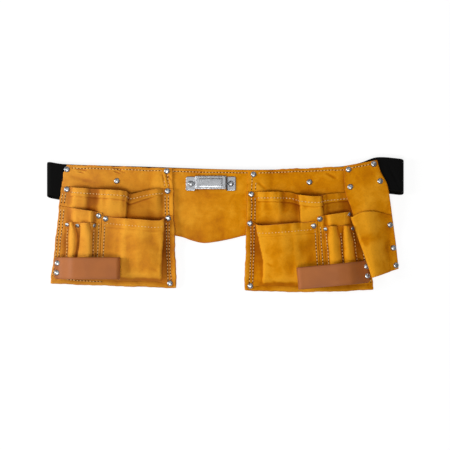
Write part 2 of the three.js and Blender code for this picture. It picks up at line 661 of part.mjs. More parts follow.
// Hammer loop: a strap laid flat on the pockets, folded at its inner end and brought back over itself
function loopPath(hand) {
  const { across, down, slope, length } = loopRows[hand];
  const { x, y } = plans[hand].at(across, down);
  const toInner = new THREE.Vector2(-pouchRows[hand].side, 0).rotateAround(new THREE.Vector2(), rad(slope));
  const beneath = (s) => Math.max(...steps(-LOOP_WIDTH / 2, LOOP_WIDTH / 2, 8).map((v) => (
    stackTop(hand, x + toInner.x * s - toInner.y * v, y + toInner.y * s + toInner.x * v)
  )));
  const seat = (s) => {
    const [from, to] = s > LOOP_SEAT ? [s - LOOP_RAMP / 3, s + LOOP_RAMP / 3] : [0, LOOP_SEAT];
    const heights = steps(from, to, 6).map(beneath);
    return Math.max(...heights) + GAP + LOOP_CLEARANCE + LOOP_LEATHER / 2;
  };
  const radius = (LOOP_HOLLOW + GAP + LOOP_LEATHER) / 2;
  const turn = length * POUCH_TOP_WIDTH - radius - LOOP_LEATHER / 2;
  const stops = [0, LOOP_SEAT, ...steps(LOOP_SEAT, turn, 7).slice(1)];
  const lower = stops.map((s) => [s, seat(s)]);
  const end = lower[lower.length - 1][1];
  const bend = steps(-Math.PI / 2, Math.PI / 2, 6).slice(1, -1).map((a) => (
    [turn + radius * Math.cos(a), end + radius + radius * Math.sin(a)]
  ));
  const upper = lower.map(([s, z]) => (
    [s, z + LOOP_LEATHER + GAP + LOOP_HOLLOW * smooth((s - LOOP_SEAT) / LOOP_RAMP)]
  )).reverse();
  return { path: [...lower, ...bend, ...upper], toInner, anchor: { x, y } };
}
for (const hand of ['left', 'right']) {
  const { path, toInner, anchor } = loopPath(hand);
  const strap = stripGeometry(path, LOOP_LEATHER, LOOP_WIDTH);
  strap.translate(0, LOOP_WIDTH / 2, 0);
  strap.rotateZ(Math.atan2(toInner.y, toInner.x));
  strap.translate(anchor.x, anchor.y, 0);
  addPiece(`${hand}_hammer_loop`, strap, 'loop_leather');
}

// Side holster: its left edge rides over the pouch's edge, its right edge lies on the belt and
// sinks below it
const holsterLevels = [0, 0.15, 0.284, 0.38, HOLSTER_MOUTH, 0.56, 0.67, 0.78, 0.89, 1];
const loopEndTop = (() => {
  const { path } = loopPath('right');
  return path[path.length - 1][1] + LOOP_LEATHER / 2 + RIVET_HEAD_HEIGHT + GAP;
})();
const holsterSeats = holsterLevels.map((down) => {
  const shares = steps(0, 0.6, 12);
  const span = steps(down - HOLSTER_SPAN, down + HOLSTER_SPAN, 4).map(clamp01);
  const over = shares.map((across) => Math.max(...span.map((near) => {
    const { x, y } = holsterAt(across, near);
    return stackTop('right', x, y);
  })));
  const edge = Math.max(...shares.filter((_, i) => over[i] > 0), 0);
  const pouch = Math.max(...over, 0) + HOLSTER_CLEARANCE;
  const foot = down > HOLSTER_LOOP_FROM ? loopEndTop : 0;
  return { across: down, height: Math.max(pouch, foot) + GAP + LEATHER / 2, edge };
});
const holsterHeight = lineThrough(holsterSeats, 'height');
const holsterOverlap = lineThrough(holsterSeats, 'edge');
function holsterRest(across, down) {
  const { x, y } = holsterAt(across, down);
  const away = smooth((across - holsterOverlap(down) - 0.04) / 0.62);
  return new THREE.Vector3(x, y, mix(holsterHeight(down), restHeight(x, y) + LEATHER / 2, away));
}
const holsterStops = [0, 0.16, 0.32, 0.5, 0.7, 1];
const holsterBack = facets(holsterRest, holsterStops, holsterLevels);
const holsterFront = raise(holsterBack, (across) => {
  const seam = 1 - HOLSTER_SEAM / HOLSTER_WIDTH;
  return mix(HOLSTER_FOLD, HOLSTER_DEPTH, smooth(across / 0.3)) * smooth((seam - across) / 0.36);
});
function holsterSheet(run, down) {
  if (run <= 1) return holsterBack(1 - run, down);
  if (run >= 2) {
    const share = (down - HOLSTER_MOUTH) / (1 - HOLSTER_MOUTH);
    return holsterFront(run - 2, mix(holsterMouth(run - 2), 1, share));
  }
  const [low, high] = [holsterBack(0, down), holsterFront(0, down)];
  const along = holsterBack(0, down + 1e-3).sub(holsterBack(0, down - 1e-3));
  const middle = low.clone().add(high).multiplyScalar(0.5);
  const arm = low.sub(middle);
  const out = new THREE.Vector3(along.y, -along.x, 0).setLength(arm.length());
  const turn = (run - 1) * Math.PI;
  return middle.addScaledVector(arm, Math.cos(turn)).addScaledVector(out, Math.sin(turn));
}
const backRuns = holsterStops.map((across) => 1 - across).reverse();
const holsterRuns = [...backRuns, 1.35, 1.65, 2, 2.1, 2.3, 2.52, 2.7, 2.82, 3];
const holsterWall = wallGeometry(holsterSheet, holsterRuns, holsterLevels, LEATHER, (run, down) => (
  run < 1 || down >= HOLSTER_MOUTH
));
addPiece('side_holster', holsterWall, 'suede');

// Rivets: where each stands on its outermost layer, and the layers it holds, outermost first
const rivetRows = [
  { name: 'left_top_outer', across: 0.968, down: 0.04, layers: 'back belt' },
  { name: 'left_top_middle', across: 0.509, down: 0.122, layers: 'back belt' },
  { name: 'left_top_inner', across: 0.054, down: 0.0285, layers: 'back centre belt' },
  { name: 'left_rim_outer', across: 0.947, down: 0.2065, layers: 'front back belt' },
  { name: 'left_rim_inner', across: 0.0563, down: 0.192, layers: 'front back centre belt' },
  { name: 'left_nail_inner', across: 0.0493, down: 0.4118, layers: 'nail front back centre' },
  { name: 'left_nail_outer', across: 0.587, down: 0.433, layers: 'nail front' },
  { name: 'left_tool_inner', across: 0.6455, down: 0.4117, layers: 'tool front' },
  { name: 'left_sleeve_inner', across: 0.687, down: 0.489, small: true, layers: 'sleeve tool front' },
  { name: 'left_sleeve_middle', across: 0.817, down: 0.492, small: true, layers: 'sleeve tool' },
  { name: 'left_sleeve_outer', across: 0.912, down: 0.489, small: true, layers: 'sleeve tool front back' },
  { name: 'left_loop_upper', across: 0.959, down: 0.823, layers: 'loop tool front back' },
  { name: 'left_loop_lower', across: 0.951, down: 0.904, layers: 'loop tool front back' },
  { name: 'left_foot_inner', across: 0.0517, down: 0.9575, layers: 'nail front back' },
  { name: 'right_top_middle', across: 0.5587, down: 0.1147, layers: 'back belt' },
  { name: 'right_top_inner', across: 0.0516, down: 0.0367, layers: 'back centre belt' },
  { name: 'right_rim_inner', across: 0.0408, down: 0.2, layers: 'front back centre belt' },
  { name: 'right_nail_inner', across: 0.0308, down: 0.4348, layers: 'nail front back centre' },
  { name: 'right_nail_outer', across: 0.5688, down: 0.464, layers: 'nail front' },
  { name: 'right_tool_inner', across: 0.6232, down: 0.41, layers: 'tool front' },
  { name: 'right_tool_outer', across: 0.878, down: 0.381, small: true, layers: 'tool front back' },
  { name: 'right_sleeve_inner', across: 0.667, down: 0.489, small: true, layers: 'sleeve tool front' },
  { name: 'right_sleeve_outer', across: 0.885, down: 0.489, small: true, layers: 'sleeve tool front back' },
  { name: 'right_loop_upper', across: 0.962, down: 0.806, layers: 'loop tool front back' },
  { name: 'right_loop_lower', across: 0.957, down: 0.883, layers: 'loop tool front back' },
  { name: 'right_foot_inner', across: 0.0452, down: 0.9575, layers: 'nail front back' },
  { name: 'holster_edge_upper', across: 0.136, down: 0.04, layers: 'holsterBack back belt' },
  { name: 'holster_edge_lower', across: 0.132, down: 0.196, layers: 'holsterBack back belt' },
  { name: 'holster_corner', across: 0.872, down: 0.03, layers: 'holsterBack belt' },
  { name: 'holster_side', across: 0.868, down: 0.186, layers: 'holsterBack belt' },
  { name: 'holster_seam_upper', across: 0.9, down: 0.586, layers: 'holsterFront holsterBack' },
  { name: 'holster_seam_middle', across: 0.9, down: 0.802, layers: 'holsterFront holsterBack' },
  { name: 'holster_seam_lower', across: 0.9, down: 0.962, layers: 'holsterFront holsterBack' },
  { name: 'clip_left', across: -1, down: 0, layers: 'clip centre belt' },
  { name: 'clip_right', across: 1, down: 0, layers: 'clip centre belt' },
];
const layerNodes = {
  front: 'pouch',
  back: 'pouch',
  nail: 'nail_pocket',
  tool: 'tool_pocket',
  sleeve: 'pencil_sleeves',
  loop: 'hammer_loop',
};
const sharedNodes = {
  centre: 'centre_panel',
  belt: 'waist_belt',
  clip: 'tape_clip',
  holsterFront: 'side_holster',
  holsterBack: 'side_holster',
};
const layerWalls = { belt: WEBBING, clip: CLIP_STEEL, loop: LOOP_LEATHER };
const wallOf = (layer) => layerWalls[layer] ?? LEATHER;
const UP = new THREE.Vector3(0, 1, 0);

// Middle point of a layer where a rivet meets it; the first layer of a row sets its place in plan
function layerPoint(layer, row, hand, place) {
  if (layer === 'clip') {
    const x = clipAt.x + row.across * (clipBend + CLIP_TAB / 2);
    return new THREE.Vector3(x, clipAt.y, clipAt.z + CLIP_STEEL / 2);
  }
  if (layer === 'holsterFront' || layer === 'holsterBack') {
    return (layer === 'holsterFront' ? holsterFront : holsterBack)(row.across, row.down);
  }
  if (layer === 'loop') {
    const { path } = loopPath(hand);
    return surfaces[hand].tool(row.across, row.down).setZ(path[path.length - 1][1]);
  }
  if (layer === 'centre') {
    return new THREE.Vector3(place.x, place.y, restHeight(place.x, place.y) + LEATHER / 2);
  }
  if (layer === 'belt') return new THREE.Vector3(place.x, place.y, BELT_TOP_FACE - WEBBING / 2);
  return surfaces[hand][layer](row.across, row.down);
}
function layerUp(layer, row, hand) {
  if (['clip', 'loop', 'belt', 'centre'].includes(layer)) return new THREE.Vector3(0, 0, 1);
  const holster = { holsterFront, holsterBack }[layer];
  return upAt(holster ?? surfaces[hand][layer], row.across, row.down);
}
for (const row of rivetRows) {
  const hand = row.name.startsWith('left') ? 'left' : 'right';
  const layers = row.layers.split(' ');
  const [first, last] = [layers[0], layers[layers.length - 1]];
  const top = layerPoint(first, row, hand);
  const up = layerUp(first, row, hand);
  const depth = top.clone().sub(layerPoint(last, row, hand, top)).dot(up);
  const slant = up.angleTo(layerUp(last, row, hand));
  const above = row.small ? RIVET_SMALL_SEAT : RIVET_SEAT;
  const below = RIVET_SEAT + RIVET_BACK_SPREAD * Math.tan(slant);
  const reach = above + depth + (wallOf(first) + wallOf(last)) / 2 + below;
  const seat = top.clone().addScaledVector(up, wallOf(first) / 2 + above);
  const turn = new THREE.Quaternion().setFromUnitVectors(UP, up);
  const back = -reach - RIVET_BACK_HEIGHT;
  const head = row.small ? RIVET_SMALL_RADIUS : RIVET_HEAD_RADIUS;
  const profile = [
    [0, back], [head * RIVET_BACK_SHARE, -reach], [RIVET_SHANK_RADIUS, -reach], [RIVET_SHANK_RADIUS, 0],
    [head, 0], [head * RIVET_FLAT_SHARE, RIVET_HEAD_HEIGHT], [0, RIVET_HEAD_HEIGHT],
  ];
  const rivet = new THREE.LatheGeometry(profile.map(([r, y]) => new THREE.Vector2(r, y)), RIVET_SIDES);
  rivet.applyQuaternion(turn).translate(seat.x, seat.y, seat.z);
  const boreRadius = RIVET_HOLE_RADIUS;
  const bore = new THREE.CylinderGeometry(boreRadius, boreRadius, reach + GAP, RIVET_HOLE_SIDES);
  bore.translate(0, -reach / 2, 0).applyQuaternion(turn).translate(seat.x, seat.y, seat.z);
  const hole = toSolid(bore);
  for (const layer of layers) {
    const node = sharedNodes[layer] ?? `${hand}_${layerNodes[layer]}`;
    const piece = pieces.get(node);
    piece.solid = piece.solid.subtract(hole);
  }
  addPiece(`rivet_${row.name}`, rivet, 'steel');
}

const apron = new THREE.Group();
apron.name = 'nail_apron';
const looks = {
  suede: new THREE.MeshStandardMaterial({ color: 0xd08a1e, roughness: 0.9, metalness: 0 }),
  webbing: new THREE.MeshStandardMaterial({ color: 0x121110, roughness: 0.85, metalness: 0 }),
  steel: new THREE.MeshStandardMaterial({ color: 0xc3c6ca, roughness: 0.3, metalness: 1 }),
  plastic: new THREE.MeshStandardMaterial({ color: 0x17171a, roughness: 0.5, metalness: 0 }),
  loop_leather: new THREE.MeshStandardMaterial({ color: 0xa8663a, roughness: 0.55, metalness: 0 }),
};
const extent = new THREE.Box3();
for (const { solid } of pieces.values()) {
  const { min, max } = solid.boundingBox();
  extent.union(new THREE.Box3(new THREE.Vector3(...min), new THREE.Vector3(...max)));
}
const middle = extent.getCenter(new THREE.Vector3());
for (const [name, { solid, finish }] of pieces) {
  const geometry = toGeometry(solid).translate(-middle.x, -middle.y, -extent.min.z);
  const mesh = new THREE.Mesh(geometry, looks[finish]);
  mesh.name = name;
  apron.add(mesh);
}
export default apron;
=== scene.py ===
"""Looks for the carpenter's nail apron: every piece is made again, finely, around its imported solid.

Lengths are millimetres until a mesh is made. X runs to the right as seen from the front, Y towards the
waist edge and Z up from the floor. Places on a pouch, a patch or the holster are shares: across runs from
the inner to the outer edge and down from the top to the foot.
"""
import math

import bpy
import numpy as np
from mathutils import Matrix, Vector


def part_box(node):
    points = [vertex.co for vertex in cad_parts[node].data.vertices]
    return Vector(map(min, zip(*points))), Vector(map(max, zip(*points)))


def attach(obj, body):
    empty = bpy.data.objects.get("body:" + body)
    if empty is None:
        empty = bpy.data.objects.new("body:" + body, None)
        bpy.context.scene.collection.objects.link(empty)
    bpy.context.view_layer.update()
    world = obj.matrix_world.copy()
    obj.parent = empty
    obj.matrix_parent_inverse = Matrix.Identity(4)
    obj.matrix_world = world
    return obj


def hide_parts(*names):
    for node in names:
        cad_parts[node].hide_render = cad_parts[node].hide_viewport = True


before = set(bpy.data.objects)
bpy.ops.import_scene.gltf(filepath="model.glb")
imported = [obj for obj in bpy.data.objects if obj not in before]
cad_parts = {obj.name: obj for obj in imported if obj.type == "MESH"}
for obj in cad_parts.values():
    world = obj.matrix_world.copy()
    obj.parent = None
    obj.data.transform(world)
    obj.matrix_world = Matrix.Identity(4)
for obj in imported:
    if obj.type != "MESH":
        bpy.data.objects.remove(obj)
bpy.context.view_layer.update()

MM = 0.001

# Camera straight above, looking down on the front of the apron
FRAME_WIDTH = 0.675
LENS = 180.0
SENSOR = 36.0
AIM = (-0.0005, 0.0006, 0.015)

# Walls in millimetres, the same as the solids'
LEATHER = 1.8
LOOP_LEATHER = 2.6
WEBBING = 1.8
CLIP_STEEL = 1.2
GAP = 0.35

# Waist belt
BELT_WIDTH = 50
BELT_REACH = {"left": 26.3, "right": 40.6}
BELT_HOLLOW = 10.6
BACK_RUN_DROP = 5
BELT_SHOWING = {"left_end": 5, "corner": 0.9, "front": 1.2, "holster": 4.6, "right_end": 2}
BUCKLE_LENGTH = 66
BUCKLE_WIDTH = 56
BUCKLE_HEIGHT = 6.4
BUCKLE_MOUTH = 9
BUCKLE_CHAMFER = 1.2
BUCKLE_LEAD = 2
BUCKLE_RAMP = 40

# Pouches
POUCH_TOP_WIDTH = 163
POUCH_HEIGHT = 180
POUCH_FOLD = 2.2
POUCH_FOOT = 0.982
PATCH_SEAM = 6.4
NAIL_CORNER_SEAM = 12
INNER_MARGIN = 14
TOOL_MARGIN = 16
FLOOR_LIFT = 1.7
DROP_START = 5
DROP_RUN = 70
STEP_SHARE = 0.1
STEP_RUN = 24
SLEEVE_STITCH = 1.9
SLEEVE_CORNER = 5.2
UPPER_DEPTH = 14
NAIL_DEPTH = 12
TOOL_DEPTH = 8.5
SLEEVE_DEPTH = 9
HOLSTER_DEPTH = 5

# Centre panel and tape clip
CENTRE_OVERLAP = 15
CENTRE_SIDE_HEIGHT = 101
CENTRE_BELLY = 10
CLIP_LENGTH = 75
CLIP_WIDTH = 21.5
CLIP_TAB = 15
CLIP_RISE = 5.4
CLIP_BELOW_TOP = 22
CLIP_OFFSET = 0.8
CLIP_SLANT = 1.6

# Hammer loops
LOOP_WIDTH = 33
LOOP_HOLLOW = 7.5
LOOP_SEAT = 9
LOOP_RAMP = 22
LOOP_CLEARANCE = 1.4

# Side holster
HOLSTER_WIDTH = 61
HOLSTER_LEFT_HEIGHT = 0.925 * POUCH_HEIGHT
HOLSTER_RIGHT_HEIGHT = 0.906 * POUCH_HEIGHT
HOLSTER_SHOULDER = 9
HOLSTER_SEAM = 9
HOLSTER_FOLD = 4
HOLSTER_INSET = 19.5
HOLSTER_CLEARANCE = 1.6
HOLSTER_LOOP_FROM = 0.75
HOLSTER_SPAN = 0.05
HOLSTER_MOUTH = 0.453

# Rivets
RIVET_HEAD = 4.45
RIVET_SMALL = 3.3
RIVET_RISE = 2.0
RIVET_SHANK = 1.2
RIVET_BACK_SHARE = 0.8

# Stitching
STITCH_PITCH = 4.9
STITCH_LENGTH = 2.9
THREAD_RADIUS = 0.64
HOLE_HALF_WIDTH = 0.72

# Where each pouch hangs. The tilt is in degrees; flares, drop and sag are lengths at its foot.
POUCHES = {
    "left": dict(side=-1, inner_x=-78.8, top_y=84.3, tilt=2.0, inner_flare=11.6, outer_flare=15.1,
                 drop=0, sag=0),
    "right": dict(side=1, inner_x=33.8, top_y=81, tilt=2.3, inner_flare=12.4, outer_flare=18.9,
                  drop=7, sag=3),
}

# Rim of each pocket as (across, down)
UPPER_RIMS = {
    "left": [(0.05, 0.17), (0.13, 0.174), (0.26, 0.198), (0.385, 0.226), (0.435, 0.203), (0.7, 0.195),
             (0.94, 0.186)],
    "right": [(0.06, 0.178), (0.37, 0.192), (0.47, 0.217), (0.62, 0.232), (0.69, 0.22), (0.94, 0.205)],
}
NAIL_RIMS = {
    "left": [(0, 0.388), (0.06, 0.392), (0.11, 0.428), (0.3, 0.43), (0.617, 0.412)],
    "right": [(0, 0.41), (0.05, 0.415), (0.1, 0.448), (0.3, 0.444), (0.6, 0.427)],
}
TOOL_RIMS = {
    "left": [(0.628, 0.385), (0.72, 0.374), (1, 0.342)],
    "right": [(0.608, 0.39), (0.75, 0.375), (0.886, 0.36), (1, 0.35)],
}
SLEEVE_RIM = 0.467
NAIL_FOOT = 0.952
NAIL_CORNER = 0.975

# Inner and outer edges of the patches, as shares across their pouch
EDGES = {
    "left": dict(nail=0.617, tool=0.628, sleeves=(0.668, 0.928)),
    "right": dict(nail=0.6, tool=0.608, sleeves=(0.648, 0.903)),
}

# Folds of the pockets' fronts: rows of (across, share of the pocket's depth)
UPPER_FOLDS = {
    "left": [(0, 0), (0.085, 0), (0.15, 0.4), (0.3, 0.3), (0.4, 0.24), (0.424, 0.72), (0.47, 0.96),
             (0.55, 1.08), (0.62, 0.78), (0.69, 0.32), (0.73, 0.3), (0.79, 0.6), (0.86, 0.58),
             (0.93, 0), (1, 0)],
    "right": [(0, 0), (0.06, 0), (0.15, 0.38), (0.225, 0.6), (0.27, 0.5), (0.33, 0.2), (0.43, 0.16),
              (0.452, 0.3), (0.472, 0.95), (0.56, 1.05), (0.635, 1.0), (0.664, 0.4), (0.7, 0.24),
              (0.777, 0.2), (0.85, 0), (1, 0)],
}
UPPER_DOME = [(0, 0), (0.085, 0), (0.3, 0.62), (0.6, 0.6), (0.9, 0), (1, 0)]
DOME_RUN = 0.3
DOME_FOOT = 0.3
NAIL_FRONT = [(0, 1), (0.25, 0.98), (0.45, 0.85), (0.65, 0.62), (0.82, 0.4), (1, 0.26)]
NAIL_FLANK = 0.3

# Width of a nail pocket's gusset at its rim and at its foot, and the share of the height it widens over
GUSSETS = {"left": (1.8, 10, 0.8), "right": (1.5, 16, 0.62)}

# Shares across a pouch between which a tool pocket's front rises
TOOL_RISE = {"left": (0.668, 0.714), "right": (0.65, 0.715)}

# The pencil sleeves' three seams, each as rows of (down, across)
SEAM_LINES = {
    "left": (
        [(0.467, 0.69), (0.952, 0.664)],
        [(0.467, 0.825), (0.56, 0.806), (0.63, 0.799), (0.74, 0.806), (0.952, 0.81)],
        [(0.467, 0.912), (0.72, 0.89), (0.952, 0.885)],
    ),
    "right": (
        [(0.467, 0.667), (0.952, 0.676)],
        [(0.467, 0.783), (0.952, 0.78)],
        [(0.467, 0.885), (0.952, 0.905)],
    ),
}

# Edges of the side holster as (down, share of its width), its mouth's rim as (across, down), and the
# shares of its height at which it rests on the pouch
HOLSTER_LEFT = [(0, 0), (0.115, 0.014), (0.21, 0.03), (0.284, 0.074), (0.356, 0.16), (0.42, 0.21),
                (0.453, 0.228), (0.71, 0.48), (1, 0.75)]
HOLSTER_RIGHT = [(0, 0.824), (0.115, 0.922), (0.21, 1.06), (0.284, 1.11), (0.356, 1.14), (0.42, 1.168),
                 (0.453, 1.18), (0.71, 1.28), (1, 1.365)]
HOLSTER_RIM = [(0, HOLSTER_MOUTH), (0.12, 0.437), (0.3, 0.43), (0.6, 0.447), (1, 0.504)]
HOLSTER_LEVELS = [0, 0.15, 0.284, 0.38, HOLSTER_MOUTH, 0.56, 0.67, 0.78, 0.89, 1]

# Foot of the centre panel as (across, share of its belly)
CENTRE_FOOT = [(0, 0), (0.1, 0), (0.2, 0.22), (0.29, 0.65), (0.42, 1), (0.55, 0.79), (0.72, 0.28),
               (0.88, -0.3), (1, -0.4)]

# Where each hammer loop is riveted, its slope in degrees and its length as a share of a pouch's top
LOOPS = {
    "left": dict(across=0.9784, down=0.8667, slope=0, length=0.607),
    "right": dict(across=0.9817, down=0.849, slope=5.5, length=0.6626),
}

# Rivets: place as shares of the pouch or holster, and the layers they hold, outermost first
RIVETS = [
    ("left_top_outer", 0.968, 0.04, "back belt"),
    ("left_top_middle", 0.509, 0.122, "back belt"),
    ("left_top_inner", 0.054, 0.0285, "back centre belt"),
    ("left_rim_outer", 0.947, 0.2065, "front back belt"),
    ("left_rim_inner", 0.0563, 0.192, "front back centre belt"),
    ("left_nail_inner", 0.0493, 0.4118, "nail front back centre"),
    ("left_nail_outer", 0.587, 0.433, "nail front"),
    ("left_tool_inner", 0.6455, 0.4117, "tool front"),
    ("left_sleeve_inner", 0.687, 0.489, "sleeve tool front"),
    ("left_sleeve_middle", 0.817, 0.492, "sleeve tool"),
    ("left_sleeve_outer", 0.912, 0.489, "sleeve tool front back"),
    ("left_loop_upper", 0.959, 0.823, "loop tool front back"),
    ("left_loop_lower", 0.951, 0.904, "loop tool front back"),
    ("left_foot_inner", 0.0517, 0.9575, "nail front back"),
    ("right_top_middle", 0.5587, 0.1147, "back belt"),
    ("right_top_inner", 0.0516, 0.0367, "back centre belt"),
    ("right_rim_inner", 0.0408, 0.2, "front back centre belt"),
    ("right_nail_inner", 0.0308, 0.4348, "nail front back centre"),
    ("right_nail_outer", 0.5688, 0.464, "nail front"),
    ("right_tool_inner", 0.6232, 0.41, "tool front"),
    ("right_tool_outer", 0.878, 0.381, "tool front back"),
    ("right_sleeve_inner", 0.667, 0.489, "sleeve tool front"),
    ("right_sleeve_outer", 0.885, 0.489, "sleeve tool front back"),
    ("right_loop_upper", 0.962, 0.806, "loop tool front back"),
    ("right_loop_lower", 0.957, 0.883, "loop tool front back"),
    ("right_foot_inner", 0.0452, 0.9575, "nail front back"),
    ("holster_edge_upper", 0.136, 0.04, "holster_back back belt"),
    ("holster_edge_lower", 0.132, 0.196, "holster_back back belt"),
    ("holster_corner", 0.872, 0.03, "holster_back belt"),
    ("holster_side", 0.868, 0.186, "holster_back belt"),
    ("holster_seam_upper", 0.9, 0.586, "holster_front holster_back"),
    ("holster_seam_middle", 0.9, 0.802, "holster_front holster_back"),
    ("holster_seam_lower", 0.9, 0.962, "holster_front holster_back"),
    ("clip_left", -1, 0, "clip centre belt"),
    ("clip_right", 1, 0, "clip centre belt"),
]
SMALL_RIVETS = ("left_sleeve_inner", "left_sleeve_middle", "left_sleeve_outer", "right_tool_outer",
                "right_sleeve_inner", "right_sleeve_outer")


def added(name, data):
    """A new object in the scene."""
    made = bpy.data.objects.new(name, data)
    bpy.context.scene.collection.objects.link(made)
    return made


camera = added("camera", bpy.data.cameras.new("camera"))
camera.data.lens = LENS
camera.data.sensor_width = SENSOR
camera.data.clip_start = 0.1
camera.data.clip_end = 30
camera.location = (AIM[0], AIM[1], AIM[2] + FRAME_WIDTH * LENS / SENSOR)
bpy.context.scene.camera = camera


def clamp01(x):
    return np.clip(x, 0.0, 1.0)


def smooth(x):
    x = clamp01(x)
    return x * x * (3 - 2 * x)


def mix(a, b, k):
    return a + (b - a) * k


def line_through(rows):
    """A smooth line through the rows of a table."""
    x, y = np.array(rows, float).T
    i = np.arange(len(x))
    before, after = np.maximum(i - 1, 0), np.minimum(i + 1, len(x) - 1)
    slope = (y[after] - y[before]) / (x[after] - x[before])

    def at(v):
        v = np.clip(np.asarray(v, float), x[0], x[-1])
        k = np.clip(np.searchsorted(x, v, side="right") - 1, 0, len(x) - 2)
        span = x[k + 1] - x[k]
        t = (v - x[k]) / span
        low = y[k] * (1 + 2 * t) * (1 - t) ** 2 + slope[k] * span * t * (1 - t) ** 2
        return low + y[k + 1] * t * t * (3 - 2 * t) + slope[k + 1] * span * t * t * (t - 1)

    return at


def eased(rows):
    """A value read from a short table, easing from each row to the next."""
    x, y = np.array(rows, float).T

    def at(v):
        v = np.clip(np.asarray(v, float), x[0], x[-1])
        k = np.clip(np.searchsorted(x, v, side="right") - 1, 0, len(x) - 2)
        return mix(y[k], y[k + 1], smooth((v - x[k]) / (x[k + 1] - x[k])))

    return at


# Unevenness of the cut edges: its size, then each wave's share of it, pace and start
EDGE_WAVE = 0.42
WAVES = ((1, 19, 1), (0.6, 43, 2.7), (0.45, 97, 5.1))


def waver(run, phase):
    """The slight unevenness of a hand-cut edge along its run."""
    return sum(height * np.sin(pace * run + start * phase) for height, pace, start in WAVES)


class Plan:
    """A pouch's own plane: across runs from its inner to its outer edge, down from its top to its foot."""

    def __init__(self, row):
        self.row = row
        self.cos, self.sin = math.cos(math.radians(row["tilt"])), math.sin(math.radians(row["tilt"]))

    def width(self, down):
        return POUCH_TOP_WIDTH + (self.row["inner_flare"] + self.row["outer_flare"]) * down

    def sag(self, across, down):
        return self.row["sag"] * 4 * across * (1 - across) * down**4

    def at(self, across, down):
        row = self.row
        x = across * self.width(down) - row["inner_flare"] * down
        x = x + EDGE_WAVE * (waver(down, 1.0) * (1 - across) ** 6 + waver(down, 2.3) * across**6)
        y = -down * (POUCH_HEIGHT + row["drop"] * across) - self.sag(across, down)
        y = y + EDGE_WAVE * (waver(across, 0.4) * (1 - down) ** 16 + waver(across, 3.1) * down**16)
        return (row["inner_x"] + row["side"] * (x * self.cos - y * self.sin),
                row["top_y"] + x * self.sin + y * self.cos)

    def locate(self, x, y):
        row = self.row
        dx, dy = row["side"] * (x - row["inner_x"]), y - row["top_y"]
        u, v = dx * self.cos + dy * self.sin, dy * self.cos - dx * self.sin
        across, down = np.full(np.shape(u), 0.5), np.full(np.shape(u), 0.5)
        for _ in range(8):
            down = -(v + self.sag(across, down)) / (POUCH_HEIGHT + row["drop"] * across)
            across = (u + row["inner_flare"] * down) / self.width(down)
        return across, down


PLANS = {hand: Plan(row) for hand, row in POUCHES.items()}
holster_left, holster_right, holster_mouth = map(line_through, (HOLSTER_LEFT, HOLSTER_RIGHT, HOLSTER_RIM))


def holster_at(across, down):
    corner = PLANS["right"].at(1, 0)
    y = mix(-HOLSTER_LEFT_HEIGHT * down, HOLSTER_SHOULDER - HOLSTER_RIGHT_HEIGHT * down, across)
    edge = mix(holster_left(down), holster_right(down), across) * HOLSTER_WIDTH
    return corner[0] - HOLSTER_INSET + edge, corner[1] + y


BELT_LEFT = PLANS["left"].at(1, 0)[0] - BELT_REACH["left"]
BELT_RIGHT = holster_at(1, 0)[0] + BELT_REACH["right"]
BELT_MIDDLE = (BELT_LEFT + BELT_RIGHT) / 2


def belt_places():
    """Points of the belt's top edge, each a little above the leather's top edge."""
    left, right = PLANS["left"], PLANS["right"]
    shoulder = holster_at(1, 0)
    spots = [
        (BELT_LEFT, left.at(1, 0)[1], "left_end"), (*left.at(1, 0), "corner"), (*left.at(0.3, 0), "front"),
        (*right.at(0.1, 0), "corner"), (*right.at(0.86, 0), "front"), (*holster_at(0.5, 0), "corner"),
        (*shoulder, "holster"), (BELT_RIGHT, shoulder[1], "right_end"),
    ]
    return [(x, y + BELT_SHOWING[name]) for x, y, name in spots]


belt_top = line_through(belt_places())
BELT_TOP_FACE = 2 * WEBBING + BELT_HOLLOW

# The solids are centred on the apron's middle: the fastening says by how much
buckle_low, buckle_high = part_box("belt_buckle")
BUCKLE_TOP = float(belt_top(BELT_MIDDLE)) - BACK_RUN_DROP + (BUCKLE_WIDTH - BELT_WIDTH) / 2
SHIFT_Y = buckle_high.y / MM - BUCKLE_TOP


def rest_height(x, y):
    """Underside of leather that lies on the belt and sinks to the floor below it."""
    below = belt_top(x) - y - BELT_WIDTH - DROP_START
    return mix(BELT_TOP_FACE + GAP, FLOOR_LIFT, smooth(below / DROP_RUN))


def unit(v):
    return v / np.maximum(np.linalg.norm(v, axis=-1, keepdims=True), 1e-12)


def stack(x, y, z):
    return np.stack(np.broadcast_arrays(x, y, z), axis=-1).astype(float)


def ripple(x, y, size, seed, waves=7):
    """A gentle, seeded unevenness of about the given wavelength, from -1 to 1."""
    rng = np.random.default_rng(seed)
    total = 0
    for _ in range(waves):
        angle, phase = rng.uniform(0, 2 * math.pi, 2)
        k = 2 * math.pi / (size * rng.uniform(0.7, 1.5))
        total = total + np.sin(k * (x * math.cos(angle) + y * math.sin(angle)) + phase)
    return total / math.sqrt(waves) / 1.6


def groove(x, y, start, end, width, depth):
    """A short crease from start to end: a valley with a low ridge beside it."""
    (x0, y0), (x1, y1) = start, end
    dx, dy = x1 - x0, y1 - y0
    length = math.hypot(dx, dy)
    t = clamp01(((x - x0) * dx + (y - y0) * dy) / length**2)
    near = ((x - x0 - t * dx) ** 2 + (y - y0 - t * dy) ** 2) / width**2
    side = ((x - x0) * dy - (y - y0) * dx) / length / width
    fade = np.sin(math.pi * clamp01(t)) ** 0.5
    return depth * np.exp(-near) * (0.9 * side - 0.8) * (0.25 + 0.75 * fade)


# Shares of every point on a layer's grid
ACROSS, DOWN = np.meshgrid(np.linspace(0, 1, 301), np.linspace(0, 1, 321))
SEEDS = {"left": 1, "right": 2}


